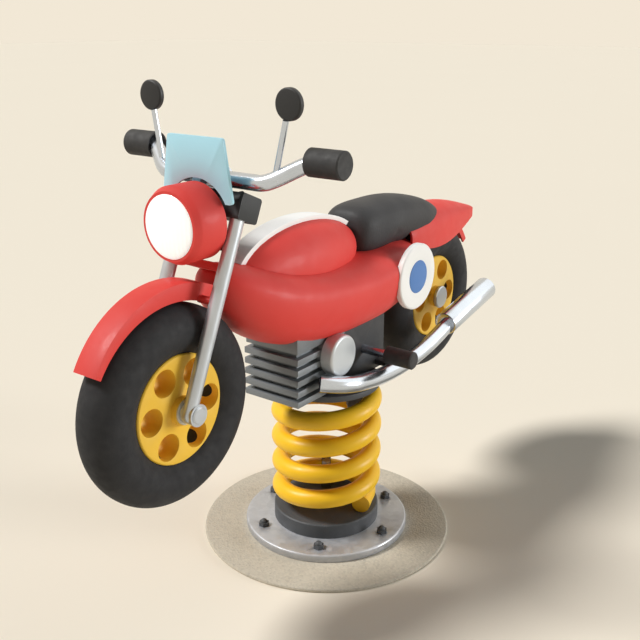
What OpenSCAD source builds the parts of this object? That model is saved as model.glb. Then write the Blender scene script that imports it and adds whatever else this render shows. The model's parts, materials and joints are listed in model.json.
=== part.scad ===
// Spring rider shaped like a small motorcycle, for a playground.
// Millimetres. +Z up, front towards -Y, rider's left towards +X.
// The origin is the underside of the ground pad on the axis of the spring.

/* [Ground fixing] */
// Radius of the rubber ground pad
pad_r = 235; // [215:1:260]
// Thickness of the ground pad
pad_t = 6; // [4:0.5:12]
// Radius of the steel base plate
plate_r = 155; // [145:1:175]
// Thickness of the base plate
plate_t = 15; // [10:0.5:20]
// Diameter of the circle through the anchor holes
anchor_pcd = 258; // [244:1:270]
// Number of anchor holes
anchor_count = 6; // [4:1:8]
// Radius of an anchor hole
anchor_hole_r = 6.5; // [5.6:0.1:7.5]
// Width of a dome nut across its corners
nut_corner_d = 20; // [18:0.5:24]
// Height of the six-sided part of a dome nut
nut_h = 7; // [6:0.5:9]
// Radius of the dome of a nut
nut_dome_r = 6.6; // [6:0.1:7]
// Radius of the thread bore of a nut
nut_bore_r = 5.1; // [4.6:0.1:5.4]
// Edge chamfer of pad, plate, cup and cap
edge = 2; // [0.5:0.5:3]

/* [Spring] */
// Radius of the lower spring cup and the upper cap
cup_r = 100; // [94:1:110]
// Height of the lower spring cup
cup_h = 28; // [24:1:40]
// Thickness of the upper spring cap
cap_t = 12; // [10:0.5:18]
// Diameter of the spring wire
wire_d = 34; // [28:0.5:36]
// Mean radius of the coil
coil_r = 86.5; // [84:0.5:90]
// Rise of the wire in one free turn
coil_pitch = 52; // [46:0.5:58]
// Height between the cup and the cap
spring_h = 245; // [225:1:270]
// Turns over which each end of the coil eases flat
ease_turns = 0.4; // [0.3:0.05:0.5]
// Inward draw of the wire at each end
end_draw = 10; // [4:0.5:12]
// Direction in which the lower end of the wire is cut
wire_end_deg = 21; // [10:1:30]
// Direction of the lower clip
lower_clip_deg = 126; // [115:1:140]
// Direction of the upper clip
upper_clip_deg = 48; // [40:1:56]
// Width of a spring clip
clip_w = 18; // [14:1:22]
// Thickness of the finger of a clip
clip_t = 8; // [6:0.5:10]
// Radius at which a clip starts inside the coil
clip_in_r = 40; // [36:1:42]
// Radius of the clip and cap bolts
bolt_r = 5; // [4:0.5:6]
// Floor of the cup left under the clip bolt
cup_floor = 8; // [6:0.5:10]
// Position of the middle of the cap bolts
cap_bolt_y = 18; // [16:1:20]
// Distance of the circle through the cap bolts inside the spring clips
cap_bolt_in = 17; // [15:1:19]
// Number of cap bolts
cap_bolt_count = 4; // [3:1:4]
// Height of a bolt head
bolt_head_h = 7; // [5:0.5:8]
// Corner radius of a six-sided bolt head
bolt_head_r = 9; // [8:0.5:10]

/* [Chassis and engine] */
// Half width of the chassis box
chassis_half_w = 52; // [46:1:54]
// Front face of the chassis box
chassis_front_y = -22; // [-26:1:-20]
// Rear face of the chassis box
chassis_rear_y = 112; // [104:1:120]
// Height of the chassis box
chassis_h = 146; // [130:1:150]
// Wall thickness of the chassis box
chassis_wall = 6; // [4:0.5:8]
// Floor thickness of the chassis box
floor_t = 10; // [8:0.5:12]
// Half width of the engine fins
fin_half_w = 58; // [54:1:60]
// Length of the engine fins
fin_len = 138; // [126:1:146]
// Thickness of a fin
fin_t = 10.5; // [8:0.5:12]
// Spacing of the fins
fin_pitch = 19; // [17:0.5:20]
// Number of fins
fin_count = 5; // [4:1:5]
// Inset of the barrel from the edge of the fins
fin_depth = 11; // [8:0.5:14]
// Height of the engine underside above the deck
engine_gap = 6; // [4:0.5:10]
// Height of the cylinder head
head_h = 40; // [34:1:44]
// Inset of the cylinder head from the edge of the fins
head_inset = 2; // [1:0.5:4]
// Radius of a crank cover
crank_r = 37; // [32:1:39]
// Depth of a crank cover
crank_depth = 24; // [18:1:26]
// Rounding of the crank cover edge
crank_round = 5; // [3:0.5:8]
// Overhang of a crank cover round the crank boss
cover_lip = 3; // [2:0.5:5]
// Reach of the crank boss beyond the fins
boss_out = 2; // [1:0.5:4]
// Position of the crank axis along the engine
crank_y = -63; // [-68:1:-60]
// Height of the crank axis above the deck
crank_z = 77; // [72:1:80]
// Radius of the footpeg bar
peg_r = 8; // [7:0.5:9]
// Position of the footpeg bar
peg_y = 43; // [38:1:50]
// Height of the footpeg bar above the deck
peg_z = 52; // [50:1:58]
// Half width over the footpeg rubbers
peg_half_w = 160; // [150:1:170]
// Length of a footpeg rubber
peg_rubber_len = 55; // [50:1:62]
// Radius of a footpeg rubber
peg_rubber_r = 16; // [14:0.5:17]

/* [Exhaust] */
// Radius of the exhaust pipe
pipe_r = 15; // [13:0.5:16]
// Wall of the exhaust pipe
pipe_wall = 2.5; // [2:0.5:4]
// Distance of the exhaust axis outside the engine fins
pipe_out = 44; // [43.5:0.5:46]
// Position of the lowest point of the pipe
pipe_low_y = 74; // [70:1:78]
// Height of the lowest point of the pipe axis above the deck
pipe_low_z = 13; // [12.5:0.5:15]
// Bend radius of the long sweep of the pipe
pipe_bend_r = 597; // [580:1:615]
// Rear end of the exhaust pipe
pipe_rear_y = 290; // [284:1:296]
// Point at which the front bend joins the long sweep
pipe_join_y = -47; // [-50:1:-44]
// Bend radius of the front bend, which runs in to the engine
elbow_r = 90; // [86:1:92]
// Angle of the front bend
elbow_deg = 50; // [46:1:51]
// Overlap of the front bend with the long sweep, where they are welded
weld_lap = 2; // [1:0.5:3]
// Step of the front bend's wall inside the wall of the long sweep
weld_step = 0.1; // [0.1:0.05:0.2]
// Radius of the muffler
muffler_r = 23; // [22:0.5:25]
// Length of the muffler
muffler_len = 178; // [160:1:190]
// Tilt of the muffler
muffler_tilt = 11; // [8:0.5:13]
// Height of the muffler axis above the pipe that enters it
muffler_rise = 6; // [4:0.5:7]
// Length of pipe inside the muffler
pipe_in_muffler = 28; // [24:1:32]
// Position of the front exhaust bracket
bracket_front_y = -94; // [-98:1:-88]
// Position of the rear exhaust bracket
bracket_rear_y = 92; // [84:1:98]
// Half length of an exhaust bracket
bracket_half_l = 8; // [6:0.5:10]
// Half height of an exhaust bracket
bracket_half_h = 5; // [4:0.5:6]

/* [Body] */
// Front of the body nose
body_front_y = -303; // [-304:1:-290]
// Widest section of the body
body_mid_y = 40; // [30:1:50]
// Rear of the body
body_rear_y = 246; // [238:1:254]
// Half width of the body
body_half_w = 100; // [95:1:104]
// Height of the body above its widest line
body_up = 46; // [42:1:50]
// Depth of the body below its widest line
body_down = 95; // [90:1:98]
// Height of the widest line above the deck
body_mid_z = 184; // [180:1:188]
// Rise of the widest line at the nose
nose_rise = 64; // [60:1:66]
// Rise of the widest line at the rear
rump_rise = 14; // [10:1:22]
// Extra height of the body above its widest line at the nose
nose_up = 36; // [30:1:40]
// Middle of the tank along the body
tank_y = -93; // [-98:1:-90]
// Height of the tank middle above the deck
tank_z = 240; // [236:1:244]
// Half width of the tank
tank_half_w = 62; // [56:1:66]
// Half length of the tank
tank_half_len = 163; // [156:1:166]
// Half height of the tank
tank_half_h = 71; // [67:1:74]
// Width of the stripe on the tank
stripe_w = 36; // [28:1:42]
// Height of the stripe above the tank
stripe_t = 5; // [3:0.5:7]
// Depth from which the stripe is cut to the tank
stripe_sink = 8; // [6:0.5:10]
// Angle at which the stripe ends at the rear
stripe_rear_deg = 37; // [34:1:44]
// Angle at which the stripe ends at the front
stripe_front_deg = 160; // [152:1:164]
// Radius of a side disc
disc_r = 62; // [54:1:64]
// Thickness of a side disc
disc_t = 11; // [8:0.5:13]
// Distance of the face of a side disc outside the widest part of the body
disc_out = 3; // [1:0.5:6]
// Position of a side disc along the body
disc_y = 146; // [140:1:152]
// Height of a side disc above the deck
disc_z = 174; // [170:1:180]
// Radius of the coloured centre of a disc
centre_r = 31; // [26:1:36]
// Depth of the recess for the coloured centre
centre_t = 3; // [2:0.5:4]
// Height of the coloured centre above the disc
centre_proud = 1; // [0.5:0.5:2]

/* [Seat and tail] */
// Front of the seat
seat_front_y = 44; // [42:1:50]
// Rear of the seat
seat_rear_y = 382; // [372:1:390]
// Position of the widest section of the seat
seat_mid_y = 150; // [146:1:156]
// Half width of the seat
seat_half_w = 60; // [55:1:64]
// Height of the seat middle above the deck
seat_mid_z = 260; // [256:1:263]
// Crown of the seat above its middle
seat_up = 54; // [48:1:58]
// Depth of the seat below its middle
seat_down = 44; // [40:1:48]
// Drop of the seat at the rear
seat_drop = 36; // [30:1:40]
// Front of the tail cowl
tail_front_y = 205; // [200:1:212]
// Rear of the tail cowl
tail_rear_y = 482; // [472:1:492]
// Half width of the tail cowl at the front
tail_front_w = 54; // [52:1:58]
// Half width of the tail cowl at the rear
tail_rear_w = 38; // [34:1:42]
// Height of the tail crown at the front, above the deck
tail_front_z = 262; // [256:1:266]
// Height of the tail crown at its highest
tail_top_z = 273; // [270:1:277]
// Height of the tail crown at the rear
tail_rear_z = 247; // [243:1:252]
// Height of the crease at the front
crease_front_z = 227; // [224:1:232]
// Height of the crease at the rear
crease_rear_z = 240; // [236:1:243]
// Depth of the side wall at its middle
skirt_mid = 44; // [38:1:46]
// Depth of the side wall at its ends
skirt_end = 18; // [14:1:22]
// Wall of the tail cowl
tail_wall = 5; // [4:0.5:6]

/* [Wheels] */
// Outer radius of the tyres
tyre_r = 155; // [150:1:157]
// Half width of the tyres
tyre_half_w = 41; // [38:0.5:42]
// Radius at which the tyre meets the wheel disc
rim_r = 84.5; // [80:0.5:90]
// Half width of the wheel disc
wheel_half_w = 30; // [26:0.5:32]
// Number of holes in the wheel disc
hole_count = 6; // [5:1:6]
// Radius of a wheel hole
hole_r = 21; // [17:0.5:22]
// Radius of the circle through the wheel holes
hole_circle_r = 58; // [54:0.5:59]
// Half width of the flat middle of the tread
tread_half = 1.5; // [1:0.5:3]
// Chamfer of the wheel edges
wheel_edge = 2; // [1:0.5:3]
// Radius of the wheel hub
hub_r = 22; // [20:0.5:24]
// Distance of the ends of a hub inside the sides of the tyre
hub_in = 1; // [1:0.5:5]
// Radius of the wheel axles
axle_r = 8; // [7:0.5:9]
// Wall of a hub bush
bush_wall = 4; // [3:0.5:5]
// Flange thickness of a hub bush
flange_t = 2; // [1.5:0.5:3]
// Length of a hub bush
bush_len = 24; // [20:1:28]
// Inset of a bush flange from the edge of the hub
flange_inset = 2; // [1:0.5:3]
// Radius of the rear hub cap
hub_cap_r = 23; // [20:0.5:25]
// Thickness of the rear hub cap
hub_cap_t = 6; // [4:0.5:8]
// Overhang of the front axle lugs round the axle caps
axle_cap_inset = 4; // [3:0.5:6]
// Thickness of a front axle cap
axle_cap_t = 3; // [2.5:0.5:4]
// Clearance of the body over the tyre tread
arch_gap = 8; // [7:0.5:12]
// Clearance of the body beside the tyres
arch_side_gap = 6; // [4:0.5:8]
// Position of the front axle
front_axle_y = -401; // [-404:1:-400]
// Height of the front axle above the deck
front_axle_z = 86; // [84:1:90]
// Position of the rear axle
rear_axle_y = 343; // [340:1:348]
// Height of the rear axle above the deck
rear_axle_z = 75; // [70:1:78]
// Thickness of the swingarm
arm_t = 14; // [12:0.5:18]
// Half height of the swingarm at the chassis
arm_half_h = 22; // [18:1:24]
// Half height of the swingarm at the axle
arm_tip_half_h = 14; // [12:1:16]
// Radius of the swingarm boss
arm_boss_r = 22; // [18:0.5:24]
// Front end of the swingarm on the chassis
arm_front_y = 66; // [63:1:72]

/* [Mudguards] */
// Clearance of the mudguards over the tyres
guard_gap = 5.5; // [4:0.5:7]
// Half width of the mudguards
guard_half_w = 22; // [18:0.5:24]
// Skin of the mudguards
guard_skin = 4; // [3:0.5:5]
// Height of the crown of the front mudguard over the tyre
front_guard_over = 20; // [18:0.5:22]
// Shift of the front mudguard's outer curve back and up
front_guard_shift = 10; // [8:0.5:11]
// Angle at which the front mudguard starts in front
front_guard_tip_deg = 147; // [140:1:150]
// Angle at which the front mudguard ends behind
front_guard_end_deg = 63; // [62:1:66]
// Height of the crown of the rear mudguard over the tyre
rear_guard_over = 18; // [16:0.5:21]
// Angle at which the rear mudguard ends behind
rear_guard_end_deg = 33; // [28:1:40]
// Angle at which the rear mudguard starts at the top
rear_guard_top_deg = 84; // [80:1:90]
// Angle at which the post of the rear mudguard stands
post_deg = 72; // [68:1:76]
// Radius of the mudguard posts and stays
stay_r = 6; // [5:0.5:7]

/* [Fork] */
// Rake of the fork
fork_rake = 23.6; // [23:0.2:24]
// Distance of the fork line in front of the axle
fork_offset = 9; // [7:0.5:10]
// Radius of a fork leg
leg_r = 11; // [10:0.5:11.5]
// Clearance of the fork legs beside the tyre
leg_gap = 2; // [1:0.5:4]
// Radius of the axle lug of a leg
lug_r = 17; // [15:0.5:19]
// Depth of the axle lug outside the leg
lug_out = 0.5; // [0.5:0.5:3]
// Length from the axle to the fork crown
leg_len = 290; // [286:1:294]
// Thickness of the fork crown
crown_h = 39; // [34:1:42]
// Half width of the fork crown
crown_half_w = 67; // [66:1:72]
// Reach of the crown in front of the legs
crown_front = 15; // [13:0.5:15.5]
// Reach of the crown behind the legs
crown_back = 29; // [26:1:32]
// Rounding of the crown edges
crown_round = 5; // [3:0.5:7]
// Depth of the legs inside the crown
leg_in_crown = 22; // [16:1:26]
// Height of the lower yoke along the legs
yoke_low = 212; // [208:1:213]
// Thickness of the lower yoke
yoke_h = 12; // [10:0.5:12]
// Set-back of the lower yoke's front face from the leg axis
yoke_back = 1; // [0.5:0.5:2]
// Reach of the neck behind the legs
neck_back = 58; // [52:1:64]
// Half width of the neck
neck_half_w = 24; // [20:1:28]

/* [Handlebar and mirrors] */
// Radius of the handlebar
bar_r = 12; // [11:0.5:12.5]
// Distance of the bar in front of the fork line
bar_front = 11.4; // [10:0.2:12.4]
// Height of the bar above the crown
bar_gap = 4; // [3:0.5:7]
// Half length of the straight middle of the bar
bar_straight = 88; // [82:1:94]
// Half width at which the bar reaches the grips
bar_bend_end = 166; // [160:1:167]
// Half width over the handlebar grips
bar_half_w = 210; // [206:1:216]
// Rise of the bar ends
bar_rise = 31; // [27:1:33]
// Backward sweep of the bar ends
bar_sweep = 36; // [30:1:38]
// Radius of a grip
grip_r = 20.5; // [18:0.5:22]
// Length of a grip
grip_len = 58; // [52:1:60]
// Closed end of a grip
grip_end = 4; // [3:0.5:6]
// Side position of the handlebar clamps
clamp_x = 15; // [13:1:20]
// Width of a handlebar clamp
clamp_w = 16; // [14:1:20]
// Outer radius of a handlebar clamp
clamp_r = 18; // [17:0.5:20]
// Side position of a mirror foot
mirror_foot_x = 110; // [106:1:114]
// Side position of a mirror
mirror_x = 133; // [128:1:138]
// Height of a mirror above the bar
mirror_up = 110; // [100:1:118]
// Backward offset of a mirror from the bar
mirror_back = 12; // [8:1:16]
// Radius of a mirror
mirror_r = 22.5; // [20:0.5:25]
// Thickness of a mirror
mirror_t = 8; // [7:0.5:10]
// Rim of a mirror around its glass
mirror_rim = 3; // [2:0.5:4]
// Thickness of the mirror glass
glass_t = 2.5; // [2:0.5:3]
// Radius of a mirror stalk
stalk_r = 4.5; // [4:0.5:5.5]

/* [Headlight and windscreen] */
// Radius of the headlight barrel
lamp_r = 57; // [55:0.5:57.5]
// Radius of the headlight lens
lens_r = 46.5; // [44:0.5:48]
// Length of the headlight barrel
lamp_len = 67; // [62:1:70]
// Bevel at the front of the headlight
lamp_bevel = 12; // [9:0.5:14]
// Wall of the headlight shell
lamp_wall = 4; // [3:0.5:5]
// Bulge of the lens
lens_bulge = 5; // [3:0.5:7]
// Thickness of the lens edge
lens_t = 6; // [5:0.5:7]
// Drop of the headlight axis below the crown, along the fork
lamp_drop = 9; // [7:0.5:10]
// Distance of the headlight back in front of the fork line
lamp_front = 14; // [13.5:0.5:15]
// Drop of the headlight bracket below the crown, along the fork
lamp_bar_drop = 40; // [36:1:42]
// Distance of the headlight bracket behind the fork line
lamp_bar_behind = 12; // [10:0.5:13]
// Radius of the headlight bracket bar
lamp_bar_r = 7; // [6:0.5:8]
// Thickness of the windscreen
screen_t = 5; // [4:0.5:6]
// Half width of the windscreen at the top
screen_top_half_w = 54.5; // [48:0.5:58]
// Half width of the windscreen at the bottom
screen_low_half_w = 68; // [66:0.5:72]
// Height of the windscreen
screen_h = 92; // [84:1:100]
// Corner radius of the windscreen
screen_round = 5; // [3:0.5:8]
// Height of the windscreen foot above the crown underside, along the fork
screen_rise = 16; // [14:1:18]
// Distance of the windscreen in front of the fork line
screen_front = 29; // [28:0.5:30]
// Radius of the cut-out round the headlight
screen_cut_r = 62; // [60:0.5:64]
// Side position of the windscreen spacers
spacer_x = 58; // [56:0.5:60]
// Radius of a windscreen spacer
spacer_r = 5; // [4:0.5:6]
// Height of the spacers above the windscreen foot
spacer_up = 10; // [9:0.5:12]

/* [Hidden] */
$fn = 64;

// Clearances between pieces
seat_gap = 0.3;
skin_gap = 0.3;
fit_gap = 0.1;
press_gap = 0.02;
run_gap = 0.05;
side_gap = 0.4;
clip_gap = 1.4;
cut_over = 1;
stay_gap = 1;
bar_end_gap = 1;

// Heights of the base
plate_z = pad_t;
cup_z = plate_z + plate_t;
cup_top = cup_z + cup_h;
cap_z = cup_top + spring_h;
deck_z = cap_z + cap_t;

// Spring path
wire_r = wire_d / 2;
coil_z0 = cup_top + wire_r + seat_gap;
coil_z1 = cap_z - wire_r - seat_gap;
coil_turns = ease_turns + (coil_z1 - coil_z0) / coil_pitch;
rings_per_turn = 24;
wire_sides = 10;
turn_deg = 360;
coil_steps = ceil(coil_turns * rings_per_turn);
coil_end_deg = wire_end_deg + coil_turns * turn_deg;

function ease_low(t) = 0.5 * coil_pitch / ease_turns * t * t;
function coil_rise(t) =
    t < ease_turns ? ease_low(t)
    : t > coil_turns - ease_turns
        ? coil_z1 - coil_z0 - ease_low(coil_turns - t)
        : coil_pitch * (t - ease_turns / 2);
function coil_draw(t) =
    end_draw * pow(max(0, 1 - min(t, coil_turns - t) / ease_turns), 2);
function coil_at(t) =
    let (a = wire_end_deg + t * turn_deg, r = coil_r - coil_draw(t))
    [r * cos(a), r * sin(a), coil_z0 + coil_rise(t)];
function run_along(a) = [-sin(a), cos(a), 0];
coil_path = concat(
    [coil_at(0) - wire_d * run_along(wire_end_deg)],
    [for (i = [0 : coil_steps]) coil_at(coil_turns * i / coil_steps)],
    [coil_at(coil_turns) + wire_d * run_along(coil_end_deg)]
);
coil_gaps = [
    for (i = [1 : coil_steps])
        for (j = [i + rings_per_turn / 2 : coil_steps])
            norm(coil_path[i] - coil_path[j]) - wire_d
];
echo(least_gap_of_spring_to_itself_mm = min(coil_gaps));

// Clip positions on the wire
lower_clip_t = (lower_clip_deg - wire_end_deg) / turn_deg;
upper_clip_t =
    coil_turns - ((coil_end_deg - upper_clip_deg) % turn_deg) / turn_deg;
lower_clip_r = coil_r - coil_draw(lower_clip_t);
upper_clip_r = coil_r - coil_draw(upper_clip_t);
lower_wire_z = coil_at(lower_clip_t).z;
upper_wire_z = coil_at(upper_clip_t).z;
clip_bolt_r = clip_in_r + clip_w / 2;
clip_bolt_depth = cup_h - cup_floor;
cap_bolt_circle_r = clip_in_r - cap_bolt_in;

// Engine
engine_front_y = chassis_front_y - fin_len;
fins_top = engine_gap + fin_pitch * (fin_count - 1) + fin_t;
barrel_half_w = fin_half_w - fin_depth;
barrel_front_y = engine_front_y + fin_depth;
head_z = fins_top + fin_pitch - fin_t;
head_half_w = fin_half_w - head_inset;
head_front_y = engine_front_y + head_inset;
boss_r = crank_r - cover_lip;
boss_x = fin_half_w + boss_out;
cover_x = boss_x + crank_depth;

// Exhaust: a long sweep behind the joint, and a bend in to the engine ahead of it
pipe_x = fin_half_w + pipe_out;
pipe_centre_z = pipe_low_z + pipe_bend_r;
pipe_rear_deg = asin((pipe_rear_y - pipe_low_y) / pipe_bend_r);
pipe_join_deg = asin((pipe_low_y - pipe_join_y) / pipe_bend_r);
weld_deg = asin(weld_lap / elbow_r);
function pipe_z_at(y) =
    pipe_centre_z - sqrt(pow(pipe_bend_r, 2) - pow(y - pipe_low_y, 2));
function elbow_z_at(y) =
    pipe_z_at(pipe_join_y) + (pipe_join_y - y) * tan(pipe_join_deg);
function elbow_x_at(y) = pipe_x - elbow_r
    + sqrt(pow(elbow_r, 2) - pow((pipe_join_y - y) / cos(pipe_join_deg), 2));
muffler_front_y = pipe_rear_y - pipe_in_muffler;
muffler_front_z = pipe_z_at(muffler_front_y) + muffler_rise;
tail_bore_share = 0.62;
back_bevel_share = 0.7;

// Wheels
rim_bore_r = axle_r + bush_wall;
tread_r = tyre_half_w - tread_half;
hub_half_w = tyre_half_w - hub_in;
front_guard_r = tyre_r + front_guard_over;
rear_guard_r = tyre_r + rear_guard_over;
tyre_centre_r = tyre_r - tread_r;
arch_half_w = tyre_half_w + arch_side_gap;
disc_x = body_half_w + disc_out;
arm_x = -chassis_half_w - arm_t;
hub_cap_x = hub_half_w + flange_t + side_gap;

// Fork frame: along runs up the legs, behind runs square to them
fork_y = front_axle_y - fork_offset;
function fork_point(along, behind) = [
    fork_y + along * sin(fork_rake) + behind * cos(fork_rake),
    front_axle_z + along * cos(fork_rake) - behind * sin(fork_rake)
];
crown_top = leg_len + crown_h;
leg_x = tyre_half_w + leg_gap + leg_r;
leg_stay_along = tyre_r + guard_gap + stay_r + stay_gap;
bar_along = crown_top + bar_gap + bar_r;
bar_pos = fork_point(bar_along, -bar_front);
lamp_pos = fork_point(leg_len - lamp_drop, -lamp_front);
screen_pos = fork_point(leg_len + screen_rise, -screen_front);
lamp_bar_pos = fork_point(leg_len - lamp_bar_drop, lamp_bar_behind);
lug_in_x = hub_half_w + flange_t + side_gap;
lug_out_x = leg_x + leg_r + lug_out;
axle_cap_r = lug_r - axle_cap_inset;

// Handlebar path: straight in the middle, then an eased rise into the grips
function ease(u) = let (v = max(0, min(1, u))) v * v * (3 - 2 * v);
function bar_ease(x) =
    ease((abs(x) - bar_straight) / (bar_bend_end - bar_straight));
function bar_at(x) = [
    x,
    bar_pos[0] + bar_sweep * bar_ease(x),
    bar_pos[1] + bar_rise * bar_ease(x)
];
bar_steps = 16;
bar_inner_x = bar_half_w - grip_end - bar_end_gap;
bar_bend_xs = [
    for (i = [0 : bar_steps])
        bar_straight + (bar_bend_end - bar_straight) * i / bar_steps
];
bar_side_xs = concat(bar_bend_xs, [bar_inner_x]);
bar_xs = concat(
    [for (i = [len(bar_side_xs) - 1 : -1 : 0]) -bar_side_xs[i]],
    bar_side_xs
);
bar_sides = 16;
bar_end = bar_at(bar_half_w);
mirror_pos = [mirror_x, bar_pos[0] + mirror_back, bar_pos[1] + mirror_up];

// Lofted forms
body_rings = 26;
body_sides = 36;
tank_rings = 22;
tank_sides = 32;
seat_rings = 26;
seat_sides = 32;
body_len_power = 2.6;
body_section_power = 2.15;
round_power = 2;
seat_front_power = 4.5;
seat_rear_power = 2.4;
seat_section_power = 2.7;
nose_power = 3;
pole_share = 0.995;
tail_steps = 12;
tail_arc_steps = 16;
stripe_steps = 32;
corner_steps = 6;
lens_steps = 10;

function signed_pow(v, p) = sign(v) * pow(abs(v), p);
function oval(half_w, up, down, power, sides) = [
    for (k = [0 : sides - 1])
        let (a = turn_deg * k / sides)
        [
            half_w * signed_pow(cos(a), 2 / power),
            (sin(a) >= 0 ? up : down) * signed_pow(sin(a), 2 / power)
        ]
];
function swell(u, power) = pow(1 - pow(abs(u), power), 1 / power);
function ring_share(i, count) = pole_share * sin(-90 + 180 * i / count);

// Walks a closed row of rings into one solid
module skin(rings) {
    n = len(rings[0]);
    m = len(rings);
    sides = [
        for (i = [0 : m - 2])
            for (k = [0 : n - 1])
                let (a = i * n + k, b = i * n + (k + 1) % n)
                each [[a, b, b + n], [a, b + n, a + n]]
    ];
    first = [for (k = [n - 1 : -1 : 0]) k];
    last = [for (k = [0 : n - 1]) (m - 1) * n + k];
    polyhedron([for (r = rings) each r], concat([first], sides, [last]));
}

// Round tube along a row of points, with end faces square to the path
function unit(v) = v / norm(v);
function tube_ring(path, i, r, sides, up) =
    let (
        a = path[max(0, i - 1)],
        b = path[min(len(path) - 1, i + 1)],
        along = unit(b - a),
        side = unit(cross(along, up)),
        over = cross(side, along)
    )
    [
        for (k = [0 : sides - 1])
            let (t = turn_deg * k / sides)
            path[i] + r * (cos(t) * over + sin(t) * side)
    ];
module tube(path, r, sides, up) {
    skin([for (i = [0 : len(path) - 1]) tube_ring(path, i, r, sides, up)]);
}

module on_deck() {
    translate([0, 0, deck_z]) children();
}
module fork_frame() {
    on_deck()
        translate([0, fork_y, front_axle_z])
            rotate([-fork_rake, 0, 0]) children();
}
module along_x(x0, x1, r) {
    translate([min(x0, x1), 0, 0])
        rotate([0, 90, 0])
            cylinder(h = abs(x1 - x0), r = r);
}
module puck(r, h, c) {
    rotate_extrude()
        polygon([[0, 0], [r, 0], [r, h - c], [r - c, h], [0, h]]);
}
module hex(h, corner_r) {
    linear_extrude(h) circle(r = corner_r, $fn = 6);
}
module rod(p, q, r) {
    d = q - p;
    translate(p)
        rotate([0, acos(d.z / norm(d)), atan2(d.y, d.x)])
            cylinder(h = norm(d), r = r);
}
module anchor_ring() {
    for (i = [0 : anchor_count - 1])
        rotate([0, 0, turn_deg * i / anchor_count])
            translate([anchor_pcd / 2, 0, 0]) children();
}
module cap_bolt_ring() {
    for (i = [0 : cap_bolt_count - 1])
        translate([0, cap_bolt_y, 0])
            rotate([0, 0, turn_deg * i / cap_bolt_count])
                translate([cap_bolt_circle_r, 0, 0]) children();
}

module ground_pad() {
    color("tan")
    difference() {
        puck(pad_r, pad_t, edge);
        anchor_ring() translate([0, 0, -cut_over])
            cylinder(h = pad_t + 2 * cut_over, r = anchor_hole_r);
    }
}
module base_plate() {
    color("silver")
    translate([0, 0, plate_z])
    difference() {
        puck(plate_r, plate_t, edge);
        anchor_ring() translate([0, 0, -cut_over])
            cylinder(h = plate_t + 2 * cut_over, r = anchor_hole_r);
    }
}
module anchor_nuts() {
    color("dimgray")
    translate([0, 0, cup_z])
    anchor_ring() difference() {
        union() {
            hex(nut_h, nut_corner_d / 2);
            translate([0, 0, nut_h]) sphere(r = nut_dome_r);
        }
        translate([0, 0, -cut_over])
            cylinder(h = nut_h + cut_over, r = nut_bore_r);
    }
}
module lower_spring_cup() {
    color("dimgray")
    difference() {
        translate([0, 0, cup_z]) puck(cup_r, cup_h, edge);
        rotate([0, 0, lower_clip_deg])
            translate([clip_bolt_r, 0, cup_top - clip_bolt_depth])
                cylinder(h = cup_h, r = bolt_r + fit_gap);
    }
}
// Clip built as if the seat were below it, wire at height wire_h over the seat
module clip_shape(ring_r, wire_h) {
    finger_z = wire_h + wire_r + clip_gap;
    difference() {
        union() {
            translate([clip_in_r, -clip_w / 2, 0])
                cube([ring_r - wire_r - clip_gap - clip_in_r, clip_w,
                    finger_z + clip_t]);
            translate([clip_in_r, -clip_w / 2, finger_z])
                cube([ring_r + wire_r / 2 - clip_in_r, clip_w, clip_t]);
        }
        translate([clip_bolt_r, 0, -cut_over])
            cylinder(h = finger_z + clip_t + 2 * cut_over, r = bolt_r + fit_gap);
    }
}
module clip_bolt_shape(wire_h) {
    top = wire_h + wire_r + clip_gap + clip_t;
    translate([clip_bolt_r, 0, 0]) {
        translate([0, 0, -clip_bolt_depth / 2])
            cylinder(h = top + clip_bolt_depth / 2, r = bolt_r);
        translate([0, 0, top]) hex(bolt_head_h, bolt_head_r);
    }
}
module lower_spring_clip() {
    color("dimgray")
    translate([0, 0, cup_top])
        rotate([0, 0, lower_clip_deg])
            clip_shape(lower_clip_r, lower_wire_z - cup_top);
}
module lower_clip_bolt() {
    color("silver")
    translate([0, 0, cup_top])
        rotate([0, 0, lower_clip_deg])
            clip_bolt_shape(lower_wire_z - cup_top);
}
module coil_spring() {
    color("gold") tube(coil_path, wire_r, wire_sides, [0, 0, 1]);
}
module upper_spring_cap() {
    color("dimgray")
    difference() {
        translate([0, 0, deck_z]) mirror([0, 0, 1]) puck(cup_r, cap_t, edge);
        translate([0, 0, cap_z - cut_over]) {
            cap_bolt_ring()
                cylinder(h = cap_t + 2 * cut_over, r = bolt_r + fit_gap);
            rotate([0, 0, upper_clip_deg])
                translate([clip_bolt_r, 0, 0])
                    cylinder(h = cap_t + 2 * cut_over, r = bolt_r + fit_gap);
        }
    }
}
module upper_spring_clip() {
    color("dimgray")
    translate([0, 0, cap_z])
        mirror([0, 0, 1])
            rotate([0, 0, upper_clip_deg])
                clip_shape(upper_clip_r, cap_z - upper_wire_z);
}
module upper_clip_bolt() {
    color("silver")
    translate([0, 0, cap_z])
        mirror([0, 0, 1])
            rotate([0, 0, upper_clip_deg])
                clip_bolt_shape(cap_z - upper_wire_z);
}
module cap_bolts() {
    color("silver")
    translate([0, 0, cap_z])
    cap_bolt_ring() {
        cylinder(h = cap_t + floor_t, r = bolt_r);
        translate([0, 0, -bolt_head_h]) hex(bolt_head_h, bolt_head_r);
    }
}
module chassis_room(front) {
    translate([-chassis_half_w - skin_gap, chassis_front_y - front, 0])
        cube([2 * (chassis_half_w + skin_gap),
            chassis_rear_y - chassis_front_y + front + skin_gap,
            chassis_h + skin_gap]);
}
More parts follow.
